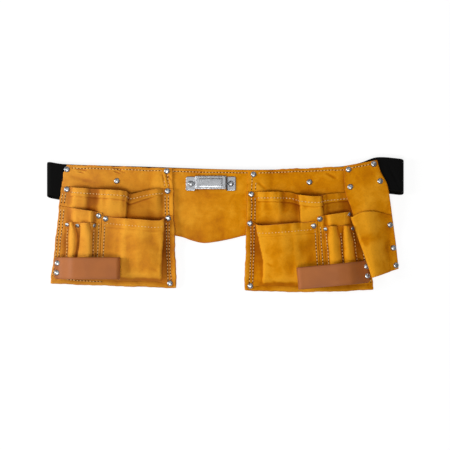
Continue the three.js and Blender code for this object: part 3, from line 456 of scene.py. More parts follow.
def blurred(grid, reach):
    """Each value averaged with its neighbours along both ways of the grid."""
    for axis in (0, 1):
        pad = [(0, 0)] * grid.ndim
        pad[axis] = (reach + 1, reach)
        total = np.cumsum(np.pad(grid, pad, mode="edge"), axis=axis)
        size = grid.shape[axis]
        far = np.take(total, np.arange(2 * reach + 1, 2 * reach + 1 + size), axis=axis)
        grid = (far - np.take(total, np.arange(size), axis=axis)) / (2 * reach + 1)
    return grid


class Layer:
    """The middle surface of one leather, as a fine grid over the two shares of its pouch."""

    def __init__(self, points, soften=3):
        self.points = points
        normal = unit(np.cross(np.gradient(points, axis=1), np.gradient(points, axis=0)))
        normal = normal * np.where(normal[..., 2:] < 0, -1, 1)
        self.normals = unit(blurred(normal, soften))

    @staticmethod
    def read(grid, across, down):
        across, down = np.broadcast_arrays(clamp01(across), clamp01(down))
        u, v = across * (grid.shape[1] - 1), down * (grid.shape[0] - 1)
        i = np.minimum(u.astype(int), grid.shape[1] - 2)
        j = np.minimum(v.astype(int), grid.shape[0] - 2)
        fu, fv = (u - i)[..., None], (v - j)[..., None]
        near = grid[j, i] * (1 - fu) + grid[j, i + 1] * fu
        return near * (1 - fv) + (grid[j + 1, i] * (1 - fu) + grid[j + 1, i + 1] * fu) * fv

    def at(self, across, down):
        return self.read(self.points, across, down)

    def up(self, across, down):
        return unit(self.read(self.normals, across, down))

    def raised(self, lift):
        """The next layer out: one wall and one gap along the normal, then raised by lift."""
        points = self.points + self.normals * (LEATHER + GAP)
        points[..., 2] += lift
        return Layer(points)


def pinch(hand, layer_names, reach):
    """How far each point of a pouch is free of the rivets that hold the named layers, from 0 to 1."""
    free = np.ones_like(ACROSS)
    x, y = PLANS[hand].at(ACROSS, DOWN)
    for name, across, down, held in RIVETS:
        if name.startswith(hand) and held.split()[0] in layer_names:
            rx, ry = PLANS[hand].at(across, down)
            free = np.minimum(free, 1 - np.exp(-((x - rx) ** 2 + (y - ry) ** 2) / reach**2))
    return free


# Creases of the back leather, then of the nail pockets, as start, end, width and depth
TOP_CREASES = {
    "left": [
        ((-170, 84.5), (-156, 80), 1.7, 2.6), ((-167, 79.5), (-158, 76), 1.4, 2.0),
        ((-163, 83.5), (-150, 82), 1.3, 1.8), ((-158, 79), (-150, 77.5), 1.2, 1.2),
        ((-224, 82.5), (-208, 80), 1.7, 2.2), ((-221, 79), (-212, 76.5), 1.4, 1.5),
        ((-90, 78), (-84.5, 56), 1.8, 2.6), ((-95, 75), (-91, 58), 1.6, 1.7),
        ((-86, 74), (-82, 66), 1.3, 1.6), ((-235, 72), (-200, 62), 4, 0.8),
    ],
    "right": [
        ((64, 78.5), (92, 76), 3, 0.8), ((150, 76), (166, 68), 3, 1.0), ((48, 62), (60, 52), 3, 0.9),
    ],
}
NAIL_CREASES = {
    "left": [((-112, -66), (-100, -72), 2.8, 0.4), ((-150, -22), (-136, -14), 3.0, 0.4)],
    "right": [
        ((58, -57), (70, -63), 2.2, 0.8), ((60, -74), (76, -88), 3.2, 0.8), ((78, -86), (92, -91), 2.8, 0.5),
    ],
}

# The inner edges of the pouches curl up by this much, over this width, below this share of the height
EDGE_CURL = 2.6
CURL_WIDTH = 11
CURL_FROM = 0.1


def back_layer(hand):
    plan = PLANS[hand]
    x, y = plan.at(ACROSS, DOWN)
    overlap = (CENTRE_OVERLAP + PATCH_SEAM) / plan.width(DOWN)
    beside = 1 - smooth((ACROSS - overlap) / STEP_SHARE)
    above = 1 - smooth((DOWN * POUCH_HEIGHT - CENTRE_SIDE_HEIGHT) / STEP_RUN)
    z = rest_height(x, y) + LEATHER / 2 + (LEATHER + GAP) * beside * above
    edge = smooth(np.minimum(ACROSS, 1 - ACROSS) * POUCH_TOP_WIDTH / 14) * smooth(DOWN * POUCH_HEIGHT / 10)
    z = z + 0.35 * (1 + ripple(x, y, 46, 10 + SEEDS[hand])) * edge * pinch(hand, ("back",), 12)
    for start, end, width, depth in TOP_CREASES[hand]:
        z = z + groove(x, y, start, end, width, depth)
    curl = (1 - smooth(ACROSS * plan.width(DOWN) / CURL_WIDTH)) * smooth((DOWN - CURL_FROM) / 0.12)
    z = z + EDGE_CURL * curl * pinch(hand, ("back", "front", "nail"), CURL_WIDTH)
    return Layer(stack(x, y, z))


def upper_layer(hand, back):
    rim = line_through(UPPER_RIMS[hand])
    x, y = PLANS[hand].at(ACROSS, DOWN)
    folds = eased(UPPER_FOLDS[hand])(ACROSS)
    dome = eased(UPPER_DOME)(ACROSS)
    foot = mix(1, DOME_FOOT, smooth((DOWN - 0.55) / 0.43))
    lift = UPPER_DEPTH * foot * mix(folds, dome, smooth((DOWN - rim(ACROSS)) / DOME_RUN))
    loose = smooth(ACROSS * 8) * smooth((1 - ACROSS) * 8)
    lift = lift + 0.8 * ripple(x, y, 34, 20 + SEEDS[hand]) * loose * clamp01(lift / 4)
    return back.raised(lift * pinch(hand, ("front",), 9))


def nail_layer(hand, front):
    plan = PLANS[hand]
    rim = line_through(NAIL_RIMS[hand])(ACROSS)
    x, y = plan.at(ACROSS, DOWN)
    along = clamp01((DOWN - rim) / (NAIL_FOOT - rim))
    near = INNER_MARGIN / plan.width(DOWN)
    corner = mix(NAIL_CORNER_SEAM, PATCH_SEAM, smooth(along / 0.3))
    far = EDGES[hand]["nail"] - corner / plan.width(DOWN)
    share = (ACROSS - near) / (far - near)
    at_rim, at_foot, reach = GUSSETS[hand]
    gusset = mix(at_rim, at_foot, clamp01(along / reach)) / ((far - near) * plan.width(DOWN))
    crease = clamp01(share / gusset)
    flank = 0.42 * crease + 0.58 * smooth((crease - 0.78) / 0.22)
    other = smooth((1 - share) / NAIL_FLANK)
    foot = 1 - smooth((along - 0.88) / 0.11)
    lift = NAIL_DEPTH * eased(NAIL_FRONT)(share) * flank * other * foot * mix(1, 0.66, along)
    lift = lift + 0.55 * ripple(x, y, 30, 30 + SEEDS[hand]) * clamp01(lift / 4)
    for start, end, width, depth in NAIL_CREASES[hand]:
        lift = lift + groove(x, y, start, end, width, depth)
    return front.raised(np.maximum(lift, 0))


def tool_layer(hand, front):
    plan = PLANS[hand]
    rim = line_through(TOOL_RIMS[hand])(ACROSS)
    along = clamp01((DOWN - rim) / (NAIL_FOOT - rim))
    near = EDGES[hand]["tool"] + 2 * PATCH_SEAM / plan.width(DOWN)
    far = 1 - TOOL_MARGIN / plan.width(DOWN)
    share = (ACROSS - near) / (far - near)
    foot, crest = TOOL_RISE[hand]
    flanks = smooth((ACROSS - foot) / (crest - foot)) ** 1.5 * smooth((1 - share) / 0.34)
    lift = TOOL_DEPTH * flanks * mix(1, 0.32, smooth(along / 0.7)) * (1 - smooth((along - 0.84) / 0.15))
    return front.raised(lift)


def sleeve_layer(hand, tool):
    plan = PLANS[hand]
    seams = [line_through(rows)(DOWN) for rows in SEAM_LINES[hand]]
    along = clamp01((DOWN - SLEEVE_RIM) / (NAIL_FOOT - SLEEVE_RIM))
    edge = mix(SLEEVE_CORNER, SLEEVE_STITCH, smooth(along / 0.3)) / plan.width(DOWN)
    first = ACROSS < seams[1]
    near = np.where(first, seams[0], seams[1]) + edge
    far = np.where(first, seams[1], seams[2]) - edge
    place = clamp01((ACROSS - near) / (far - near))
    arch = np.sin(math.pi * place)
    crown = np.where(first, arch**0.45 * mix(0.9, 0.75, place), arch**0.8)
    lift = SLEEVE_DEPTH * crown * mix(1, 0.5, smooth(along / 0.8)) * (1 - smooth((along - 0.84) / 0.15))
    return tool.raised(lift)


LAYERS = {}
for hand in PLANS:
    back = back_layer(hand)
    front = upper_layer(hand, back)
    tool = tool_layer(hand, front)
    LAYERS[hand] = dict(back=back, front=front, nail=nail_layer(hand, front), tool=tool,
                        sleeve=sleeve_layer(hand, tool))


def stack_top(hand, x, y):
    """Upper face of whatever part of a pouch lies under each point, or the floor beyond its edges."""
    across, down = PLANS[hand].locate(np.asarray(x, float), np.asarray(y, float))
    outside = (np.abs(across - 0.5) > 0.505) | (np.abs(down - 0.5) > 0.52)
    a, d = clamp01(across), np.minimum(clamp01(down), NAIL_FOOT)
    below_upper, below_tool, below_nail = (d > line_through(rims[hand])(a) for rims in
                                           (UPPER_RIMS, TOOL_RIMS, NAIL_RIMS))
    edges = EDGES[hand]
    inner_sleeve, outer_sleeve = edges["sleeves"]
    z = LAYERS[hand]["back"].at(a, d)[..., 2]
    for name, covered in (
        ("front", below_upper),
        ("tool", below_tool & (a > edges["tool"])),
        ("sleeve", (d > SLEEVE_RIM) & (a > inner_sleeve) & (a < outer_sleeve)),
        ("nail", below_nail & (a < edges["nail"])),
    ):
        z = np.where(covered, LAYERS[hand][name].at(a, d)[..., 2], z)
    return np.where(outside, 0, z + LEATHER / 2)


# How far each place lies below its surroundings, for the painted shade of hollows. The map of the
# apron's top reaches MAP_HALF to each side. DEEP has rows of (cells to average, depth that counts as
# full, share), DEEPEST is the strongest painted shade, VALLEYS has rows of (across, how dark) for the painted
# shade in the folds below the upper pocket's rim, and HEM_SHADE is the share of that shade left on the hem.
MAP_STEP = 1.5
MAP_HALF = (285, 108)
HOLSTER_TOP = 26
DEEPEST = 0.82
DEEP = ((2, 2.4, 0.28), (6, 6.0, 0.4), (13, 8.0, 0.5))
VALLEYS = {
    "left": [(0, 0), (0.1, 0.22), (0.2, 0.4), (0.36, 0.44), (0.41, 0.6), (0.43, 0.25), (0.48, 0.08),
             (0.55, 0), (0.62, 0.12), (0.68, 0.5), (0.74, 0.46), (0.8, 0.1), (0.9, 0), (1, 0)],
    "right": [(0, 0), (0.25, 0), (0.3, 0.36), (0.44, 0.4), (0.455, 0.3), (0.475, 0), (0.62, 0),
              (0.665, 0.4), (0.8, 0.4), (1, 0.3)],
}
HEM_SHADE = {"left": 0.9, "right": 0.3}


def top_map():
    """Height of the apron's top face over the floor, the holster's only roughly."""
    x, y = np.meshgrid(*(np.arange(-half, half + MAP_STEP, MAP_STEP) for half in MAP_HALF))
    tops = np.maximum(stack_top("left", x, y), stack_top("right", x, y))
    places = zip(holster_at(ACROSS, DOWN), MAP_HALF)
    column, line = (np.rint((v + half) / MAP_STEP).astype(int) for v, half in places)
    tops[line, column] = np.maximum(tops[line, column], HOLSTER_TOP * (1 - ACROSS))
    return tops


TOP_MAP = top_map()[..., None]
BLURRED_TOPS = [blurred(blurred(TOP_MAP, reach), reach) for reach, _, _ in DEEP]


def deepness(x, y, z):
    """From 0 in the open to 1 far down in a hollow; it sets the painted shade there."""
    across, down = ((v + half) / (2 * half) for v, half in zip((x, y), MAP_HALF))
    total = 0
    for tops, (_, span, share) in zip(BLURRED_TOPS, DEEP):
        total = total + share * clamp01((Layer.read(tops, across, down)[..., 0] - z) / span)
    return clamp01(total)


# Meshes
def make_object(name, points, faces, materials, kinds=None, smooth_faces=True, fields=None, uv=None):
    """A mesh object from millimetre points; kinds says which material each face has."""
    points = np.asarray(points, float).reshape(-1, 3) + (0, SHIFT_Y, 0)
    mesh = bpy.data.meshes.new(name)
    mesh.from_pydata((points * MM).tolist(), [], faces)
    for material in materials:
        mesh.materials.append(material)
    if kinds is not None:
        mesh.polygons.foreach_set("material_index", np.asarray(kinds, np.int32))
    mesh.polygons.foreach_set("use_smooth", np.full(len(mesh.polygons), smooth_faces))
    for key, values in (fields or {}).items():
        layer = mesh.attributes.new(key, "FLOAT", "POINT")
        layer.data.foreach_set("value", np.asarray(values, np.float32))
    if uv is not None:
        corners = np.zeros(len(mesh.loops), np.int32)
        mesh.loops.foreach_get("vertex_index", corners)
        coords = mesh.uv_layers.new(name="UVMap")
        coords.data.foreach_set("uv", np.asarray(uv, np.float32)[corners].ravel())
    mesh.validate()
    return added(name, mesh)


def dress(piece, node_name=None):
    """Ties a piece to the part and hides the solid that it stands for."""
    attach(piece, "root")
    if node_name:
        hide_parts(node_name)
    return piece


def walk(points, axis):
    """Distance along one way of a grid of points, from its first row."""
    step = np.linalg.norm(np.diff(points, axis=axis), axis=-1)
    pad = [(0, 0), (0, 0)]
    pad[axis] = (1, 0)
    return np.cumsum(np.pad(step, pad), axis=axis)


# How far a wall is thinned at its edges, and the width of the border that is rubbed
EDGE_ROUND = 0.35
BORDER = 5


def border_edges(faces):
    """The directed edges that only one of the faces has."""
    edges = {}
    for ring in faces:
        for n in range(4):
            a, b = int(ring[n]), int(ring[(n + 1) % 4])
            if (b, a) in edges:
                del edges[(b, a)]
            else:
                edges[(a, b)] = True
    return edges


def wall_fields(middle, across, down, relief, highest, hollows, shade):
    """What the leather's material reads at each point: border; crest, which it turns into painted light on
    rises and painted shade on falls; and the amount of painted shade in hollows and folds. Each runs from 0
    to 1.
    """
    border = np.minimum(np.minimum(across, across[:, -1:] - across), np.minimum(down, down[-1:] - down))
    height = (middle[..., 2] + relief)[..., None]

    def over(reach):
        return (height - blurred(height, reach))[..., 0]

    crest = over(5) / 1.6 + over(2) / 0.7 + over(15) / 5
    # Painted shade: darker where the place lies below the blurred tops around it, and in broad hollows of its
    # own wall
    painted_shade = deepness(middle[..., 0], middle[..., 1], highest)
    painted_shade = painted_shade + 0.4 * clamp01(-over(30) / 8)
    return {
        "border": 1 - clamp01(border / BORDER),
        "crest": 0.5 + 0.5 * np.clip(crest, -1, 1),
        "painted_shade": hollows * DEEPEST * clamp01(painted_shade) + shade,
    }


def wall(name, middle, thickness, materials, relief=None, keep=None, hollows=1.0, shade=0.0):
    """A closed wall around a grid of middle points; relief adds to its first face, keep drops cells.
    The first face lies where the grid's normal (along a row, then down a column) points."""
    high, wide = middle.shape[:2]
    normal = unit(np.cross(np.gradient(middle, axis=1), np.gradient(middle, axis=0)))
    normal = unit(blurred(normal, 1))
    keep = np.ones((high - 1, wide - 1), bool) if keep is None else keep
    relief = np.zeros((high, wide)) if relief is None else relief
    around = np.zeros((high, wide), int)
    for dj in (0, 1):
        for di in (0, 1):
            around[dj:dj + high - 1, di:di + wide - 1] += keep
    rim = (around > 0) & (around < 4)
    half = np.where(rim, thickness / 2 - EDGE_ROUND, thickness / 2)
    top = middle + normal * (half + relief)[..., None]
    bottom = middle - normal * half[..., None]
    sheet = high * wide
    index = np.arange(sheet).reshape(high, wide)
    p, q = index[:-1, :-1][keep], index[:-1, 1:][keep]
    r, s = index[1:, 1:][keep], index[1:, :-1][keep]
    upper = np.stack([p, q, r, s], 1)
    lower = np.stack([p, s, r, q], 1) + sheet
    side = np.array([(b, a, a + sheet, b + sheet) for a, b in border_edges(upper)], int).reshape(-1, 4)
    faces = np.concatenate([upper, lower, side])
    kinds = np.concatenate([np.zeros(len(upper) + len(lower)), np.ones(len(side))])
    across, down = walk(middle, 1), walk(middle, 0)
    highest = np.maximum(top[..., 2], bottom[..., 2])
    fields = wall_fields(middle, across, down, relief, highest, hollows, shade)
    points = np.concatenate([top.reshape(-1, 3), bottom.reshape(-1, 3)])
    uv = np.stack([np.tile(across.ravel(), 2), np.tile(down.ravel(), 2)], 1) * MM
    used = np.unique(faces)
    place = np.zeros(len(points), int)
    place[used] = np.arange(len(used))
    return make_object(
        name, points[used], place[faces].tolist(), materials, kinds if len(materials) > 1 else None,
        fields={key: np.tile(values.ravel(), 2)[used] for key, values in fields.items()}, uv=uv[used],
    )


# Materials
class Look:
    """A procedural material; its methods add nodes and give back the socket with their result."""

    def __init__(self, name, color, roughness, metallic=0.0, space="Object", **sockets):
        self.material = bpy.data.materials.new(name)
        self.material.use_nodes = True
        self.nodes, self.links = self.material.node_tree.nodes, self.material.node_tree.links
        self.sockets = self.nodes["Principled BSDF"].inputs
        self.feed("Base Color", color)
        self.feed("Roughness", roughness)
        self.feed("Metallic", metallic)
        for key, value in sockets.items():
            self.feed(key.replace("_", " "), value)
        self.place = self.nodes.new("ShaderNodeTexCoord").outputs[space]

    def feed(self, socket, value):
        """Gives a socket, or the shader's socket of that name, a number, a colour or a link."""
        socket = self.sockets[socket] if isinstance(socket, str) else socket
        if isinstance(value, tuple):
            socket.default_value = (*value, 1)
        elif isinstance(value, (int, float)):
            socket.default_value = value
        else:
            self.links.new(value, socket)

    def node(self, kind, source=None, **values):
        """A node with these settings, with its Vector linked to source."""
        made = self.nodes.new(kind)
        for key, value in values.items():
            if hasattr(made, key):
                setattr(made, key, value)
            else:
                made.inputs[key.replace("_", " ")].default_value = value
        if source is not None:
            self.links.new(source, made.inputs["Vector"])
        return made

    def noise(self, scale, detail, roughness=0.5, distortion=0.0, source=None):
        made = self.node("ShaderNodeTexNoise", self.place if source is None else source, Scale=scale,
                         Detail=detail, Roughness=roughness, Distortion=distortion)
        return made.outputs["Fac"]

    def field(self, name):
        """A value that the mesh carries at each of its points."""
        return self.node("ShaderNodeAttribute", attribute_name=name).outputs["Fac"]

    def ramp(self, source, *stops):
        """Colours, or plain numbers for a grey, at their places along a value."""
        made = self.nodes.new("ShaderNodeValToRGB")
        for element, (place, color) in zip(made.color_ramp.elements, stops):
            element.position = place
            element.color = (*color, 1) if isinstance(color, tuple) else (color, color, color, 1)
        for place, color in stops[2:]:
            made.color_ramp.elements.new(place).color = (*color, 1)
        self.links.new(source, made.inputs["Fac"])
        return made.outputs["Color"]

    def blend(self, factor, first, second, kind="MIX"):
        made = self.node("ShaderNodeMix", data_type="RGBA", blend_type=kind)
        for socket, value in ((made.inputs[0], factor), (made.inputs[6], first), (made.inputs[7], second)):
            self.feed(socket, value)
        return made.outputs[2]

    def math(self, kind, first, second):
        made = self.node("ShaderNodeMath", operation=kind)
        self.feed(made.inputs[0], first)
        self.feed(made.inputs[1], second)
        return made.outputs[0]

    def bump(self, *layers):
        """Stacks bumps of (height, strength, distance in metres) on the shader's normal."""
        last = None
        for height, strength, distance in layers:
            made = self.node("ShaderNodeBump", Strength=strength, Distance=distance)
            self.feed(made.inputs["Height"], height)
            if last is not None:
                self.feed(made.inputs["Normal"], last)
            last = made.outputs["Normal"]
        self.feed("Normal", last)


def suede_look():
    """Napped split leather rubbed at its edges; painted light makes it paler on crests and towards the left,
    painted shade darker in hollows.
    """
    dark, middle, light = (0.5, 0.15, 0.0), (0.64, 0.228, 0.001), (0.78, 0.325, 0.012)
    look = Look("split_leather", middle, 0.95, Specular_IOR_Level=0.06, Sheen_Weight=0.015,
                Sheen_Roughness=0.5)
    broad = look.noise(14, 4, 0.55, 0.8)
    patch = look.noise(70, 5, 0.6, 0.4)
    nap = look.noise(520, 4, 0.65)
    grain = look.noise(1700, 3, 0.6)
    tone = look.math("ADD", look.math("MULTIPLY", broad, 0.5), look.math("MULTIPLY", patch, 0.5))
    # Painted light and shade: paler where the leather stands above its neighbours, darker where it lies below
    # them
    painted_crest_light = look.math("MULTIPLY", look.math("SUBTRACT", look.field("crest"), 0.5), 0.34)
    color = look.ramp(look.math("ADD", tone, painted_crest_light), (0.34, dark), (0.5, middle), (0.68, light))
    speckle = look.ramp(nap, (0.3, (0.74, 0.7, 0.64)), (0.5, 1))
    color = look.blend(0.45, color, speckle, "MULTIPLY")
    wear = look.math("MULTIPLY", look.field("border"), look.math("ADD", patch, 0.1))
    color = look.blend(look.math("MULTIPLY", wear, 0.5), color, (0.56, 0.17, 0.006))
    # Painted light: the leather turns paler and pinker towards the left, where the left lamp lights it
    sides = look.node("ShaderNodeSeparateXYZ", look.place)
    painted_left_light = look.node("ShaderNodeMapRange", From_Min=0.02, From_Max=-0.24, To_Min=0.0, To_Max=0.2)
    look.feed(painted_left_light.inputs["Value"], sides.outputs["X"])
    color = look.blend(painted_left_light.outputs["Result"], color, (0.66, 0.36, 0.14))
    # Painted shade: the colour is darkened towards a deeper brown by the painted shade value of each point
    look.feed("Base Color", look.blend(look.field("painted_shade"), color, (0.38, 0.23, 0.045), "MULTIPLY"))
    look.bump((patch, 0.4, 0.001), (nap, 0.5, 0.0004), (grain, 0.5, 0.00018))
    return look.material


def cut_look(name, color):
    """The fibrous cut edge of a leather."""
    look = Look(name, color, 0.95)
    fibre = look.noise(900, 4, 0.7)
    shades = [tuple(share * c for c in color) for share in (0.55, 1.15)]
    look.feed("Base Color", look.ramp(fibre, (0.3, shades[0]), (0.65, shades[1])))
    look.bump((fibre, 0.6, 0.0003))
    return look.material


def strap_look():
    """Smooth brown leather with fine pores."""
    look = Look("smooth_leather", (0.36, 0.115, 0.03), 0.55, Specular_IOR_Level=0.25)
    broad = look.noise(24, 3, 0.5)
    fine = look.noise(1400, 3, 0.6)
    pores = look.node("ShaderNodeTexVoronoi", look.place, Scale=1100.0)
    color = look.ramp(broad, (0.35, (0.335, 0.098, 0.018)), (0.65, (0.4, 0.124, 0.026)))
    rubbed = look.math("MULTIPLY", look.field("border"), 0.35)
    look.feed("Base Color", look.blend(rubbed, color, (0.22, 0.065, 0.02)))
    look.feed("Roughness", look.ramp(broad, (0.3, 0.44), (0.7, 0.58)))
    look.bump((pores.outputs["Distance"], 0.25, 0.00012), (fine, 0.3, 0.0001))
    return look.material


def webbing_look():
    """Black webbing: ribs along it, crossed by its threads."""
    look = Look("black_webbing", (0.002, 0.0019, 0.0017), 0.85, space="UV", Specular_IOR_Level=0.1)
    ribs = look.node("ShaderNodeTexWave", look.place, Scale=170.0, Distortion=0.6, bands_direction="Y")
    cross = look.node("ShaderNodeTexWave", look.place, Scale=210.0, Distortion=1.0)
    weave = look.math("MULTIPLY", ribs.outputs["Fac"], cross.outputs["Fac"])
    fuzz = look.noise(1500, 2)
    look.feed("Base Color", look.ramp(weave, (0.0, (0.001, 0.001, 0.0009)), (0.8, (0.0036, 0.0033, 0.003))))
    look.bump((weave, 0.6, 0.0004), (fuzz, 0.3, 0.0001))
    return look.material


def metal_look(name, color, roughness, relief, stretch=(1.0, 1.0, 1.0)):
    """Metal with fine lines, drawn out by stretch, and shallow dents."""
    look = Look(name, color, roughness, 1.0)
    drawn = look.node("ShaderNodeMapping", look.place, Scale=stretch)
    lines = look.noise(600, 3, 0.6, source=drawn.outputs["Vector"])
    dents = look.noise(120, 2, 0.5)
    look.feed("Roughness", look.ramp(lines, (0.3, roughness * 0.8), (0.7, roughness * 1.25)))
    look.feed("Base Color", look.ramp(dents, (0.3, tuple(0.86 * c for c in color)), (0.7, color)))
    look.bump((dents, relief, 0.0003), (lines, relief * 0.5, 0.0001))
    return look.material


def thread_look():
    look = Look("stitch_thread", (0.8, 0.5, 0.16), 0.75, Sheen_Weight=0.2)
    twist = look.noise(1600, 2)
    look.feed("Base Color", look.ramp(twist, (0.3, (0.62, 0.36, 0.1)), (0.7, (0.92, 0.64, 0.27))))
    look.bump((twist, 0.4, 0.0002))
    return look.material


def plastic_look():
    look = Look("black_plastic", (0.009, 0.009, 0.01), 0.45)
    texture = look.noise(900, 3)
    look.feed("Roughness", look.ramp(texture, (0.3, 0.38), (0.7, 0.55)))
    look.bump((texture, 0.3, 0.0001))
    return look.material


SUEDE = [suede_look(), cut_look("split_leather_cut", (0.5, 0.13, 0.012))]
STRAP = [strap_look(), cut_look("smooth_leather_cut", (0.19, 0.07, 0.03))]
# Thread, then near-black discs painted with the shade inside each stitch hole
THREAD = [thread_look(), cut_look("stitch_hole_painted_shade", (0.05, 0.013, 0.002))]
WEBBING_LOOK = webbing_look()
RIVET_LOOK = metal_look("nickel_rivet", (0.42, 0.43, 0.44), 0.36, 0.3)
CLIP_LOOK = metal_look("clip_steel_look", (0.37, 0.38, 0.395), 0.4, 0.06, (0.08, 1.0, 1.0))
PLASTIC = plastic_look()


# Stitching
class Seams:
    """Collects rows of stitches for one piece, then makes them as one mesh of thread and dark discs painted
    with the shade of the holes.
    """

    # Rings of a stitch from end to end: place as a share of its half length, share of its width, height
    RINGS = ((-1.0, 0.3, -0.45), (-0.72, 0.82, 0.08), (0.0, 1.0, 0.32), (0.72, 0.82, 0.08), (1.0, 0.3, -0.45))
    SIDES = 6
    HOLE_SIDES = 8

    def __init__(self, name):
        self.name = name
        self.points, self.faces, self.kinds, self.count = [], [], [], 0
        self.rng = np.random.default_rng(len(name) * 7 + 3)

    def add(self, points, faces, kind):
        points = points.reshape(-1, 3)
        self.points.append(points)
        self.faces += [[i + self.count for i in face] for face in faces]
        self.kinds += [kind] * len(faces)
        self.count += len(points)

    def row(self, points, normals):
        """Stitches along a line of points; each dips into the leather at both its ends."""
        run = np.concatenate([[0], np.cumsum(np.linalg.norm(np.diff(points, axis=0), axis=1))])

        def at(s, values):
            return np.array([np.interp(s, run, values[:, n]) for n in range(3)])

        for s in np.arange(STITCH_PITCH / 2, run[-1] - STITCH_PITCH * 0.3, STITCH_PITCH):
            turned, longer = self.rng.uniform(-0.12, 0.12, 2)
            normal = unit(at(s, normals))
            along = unit(at(s + 0.3, points) - at(s - 0.3, points))
            side = unit(np.cross(along, normal) + along * turned)
            along = unit(np.cross(normal, side))
            self.thread(at(s, points), along, side, normal, STITCH_LENGTH * (1 + longer * 0.6))
            self.hole(at(s + STITCH_PITCH / 2, points), along, side, normal)

    def thread(self, centre, along, side, normal, length):
        turn = np.arange(self.SIDES)[:, None] * 2 * math.pi / self.SIDES
        rings = []
        for share, width, rise in self.RINGS:
            middle = centre + along * share * length / 2 + normal * rise
            circle = np.cos(turn) * side + np.sin(turn) * normal * 0.8
            rings.append(middle + circle * THREAD_RADIUS * width)
        n, last = self.SIDES, (len(self.RINGS) - 1) * self.SIDES
        faces = [[k + i, k + (i + 1) % n, k + n + (i + 1) % n, k + n + i]
                 for k in range(0, last, n) for i in range(n)]
        faces += [list(range(n))[::-1], list(range(last, last + n))]
        self.add(np.array(rings), faces, 0)

    def hole(self, centre, along, side, normal):
        # A flat dark disc on the leather between two stitches: painted shade standing in for the hole
        n = self.HOLE_SIDES
        turn = np.arange(n)[:, None] * 2 * math.pi / n
        reach = (STITCH_PITCH - STITCH_LENGTH) / 2 + 0.15
        ring = centre + np.cos(turn) * along * reach + np.sin(turn) * side * HOLE_HALF_WIDTH + normal * 0.02
        points = np.concatenate([ring, [centre + normal * 0.1], [centre - normal * 0.4]])
        faces = [[i, (i + 1) % n, n] for i in range(n)] + [[(i + 1) % n, i, n + 1] for i in range(n)]
        self.add(points, faces, 1)

    def make(self):
        dress(make_object(self.name, np.concatenate(self.points), self.faces, THREAD, self.kinds))


def seam_on(seams, layer, across, down, lift=0.0):
    """One row on the upper face of a layer, lifted by what the leather is thicker there."""
    normals = layer.up(across, down)
    seams.row(layer.at(across, down) + normals * (LEATHER / 2 + lift), normals)


def seam_between(seams, layer, start, end):
    """A straight row from one (across, down) to another."""
    seam_on(seams, layer, np.linspace(start[0], end[0], 60), np.linspace(start[1], end[1], 60))


# Pouches. Rows of stitches lie at distances from the edge they follow, and leather dips along each.
EDGE_ROWS = {
    "left": dict(inner=(7.3, 12.7), outer=(3.2, 7.8)),
    "right": dict(inner=(6.5, 12.4), outer=(3.2, 7.8)),
}
TOP_STITCH = 4.6
HEM_STITCH = {"left": 7.6, "right": 9.2}
NAIL_STITCH = {"left": 10.0, "right": 11.6}
NAIL_HEM_BEYOND = 4.6
NAIL_SIDE_STITCH = 4.2
TOOL_SIDE_STITCH = 3.6
FOOT_STITCH = 0.938

# Depth and half width of the dip along a row beside a rim, and beside a side edge
RIM_DIP = (0.28, 1.5)
SIDE_DIP = (0.3, 1.3)

# Width of the upper pocket's turned hem as (across, width), and the folds that need finer columns
HEM = {
    "left": [(0.06, 8.4), (0.2, 11), (0.41, 14.4), (0.425, 13), (1, 12)],
    "right": [(0.06, 13.5), (0.45, 14.5), (0.66, 14.5), (0.68, 12), (1, 11)],
}
CREASES = {"left": [(0.398, 0.426)], "right": [(0.44, 0.47), (0.648, 0.68)]}

# The left pouch's outer top corner is cut off by this much, over this length
CORNER_CUT = (5.0, 12.5)

# Shares of the height above which the front's rows follow the rim, and are close together
RIM_FROM = 0.275
FINE_FROM = 0.34

# Shares across a pouch: the run of the nail pocket's lower inner corner, the gap between the nail and
# the tool pocket, and how far the sleeves' leather reaches past its first and last seams
NAIL_CORNER_RUN = 0.16
PATCH_GAP = 0.0024
SLEEVE_SIDES = (-0.019, 0.016)

# The end of the tool pocket's foot seam that shows below the hammer loop, as (across, down)
FOOT_SEAMS = {"left": ((0.88, 0.96), (0.58, 0.967))}

# Rows of a patch from its rim to its foot, and angles of a fold's rows
PATCH_ROWS = np.concatenate([np.linspace(0, 0.2, 40)[:-1], np.linspace(0.2, 1, 58)])
TURNS = np.linspace(0, math.pi, 9)[1:-1]


def stitch_dip(distance, dip):
    """Leather drawn down along a row of stitches."""
    depth, width = dip
    return -depth * np.exp(-(distance / width) ** 2)


def side_dips(distance, rows):
    return sum(stitch_dip(distance - row, SIDE_DIP) for row in rows)


def folded(low, high, out):
    """Rows of a half turn from low to high, bulging by out."""
    middle, arm = (low + high) / 2, (low - high) / 2
    return np.array([middle + arm * math.cos(turn) + out * math.sin(turn) for turn in TURNS])


def outward(hand, side, *grids):
    """The grids, their columns reversed for the pouch on that side, so that the first face is outside."""
    return [grid[:, ::-1] if POUCHES[hand]["side"] == side else grid for grid in grids]


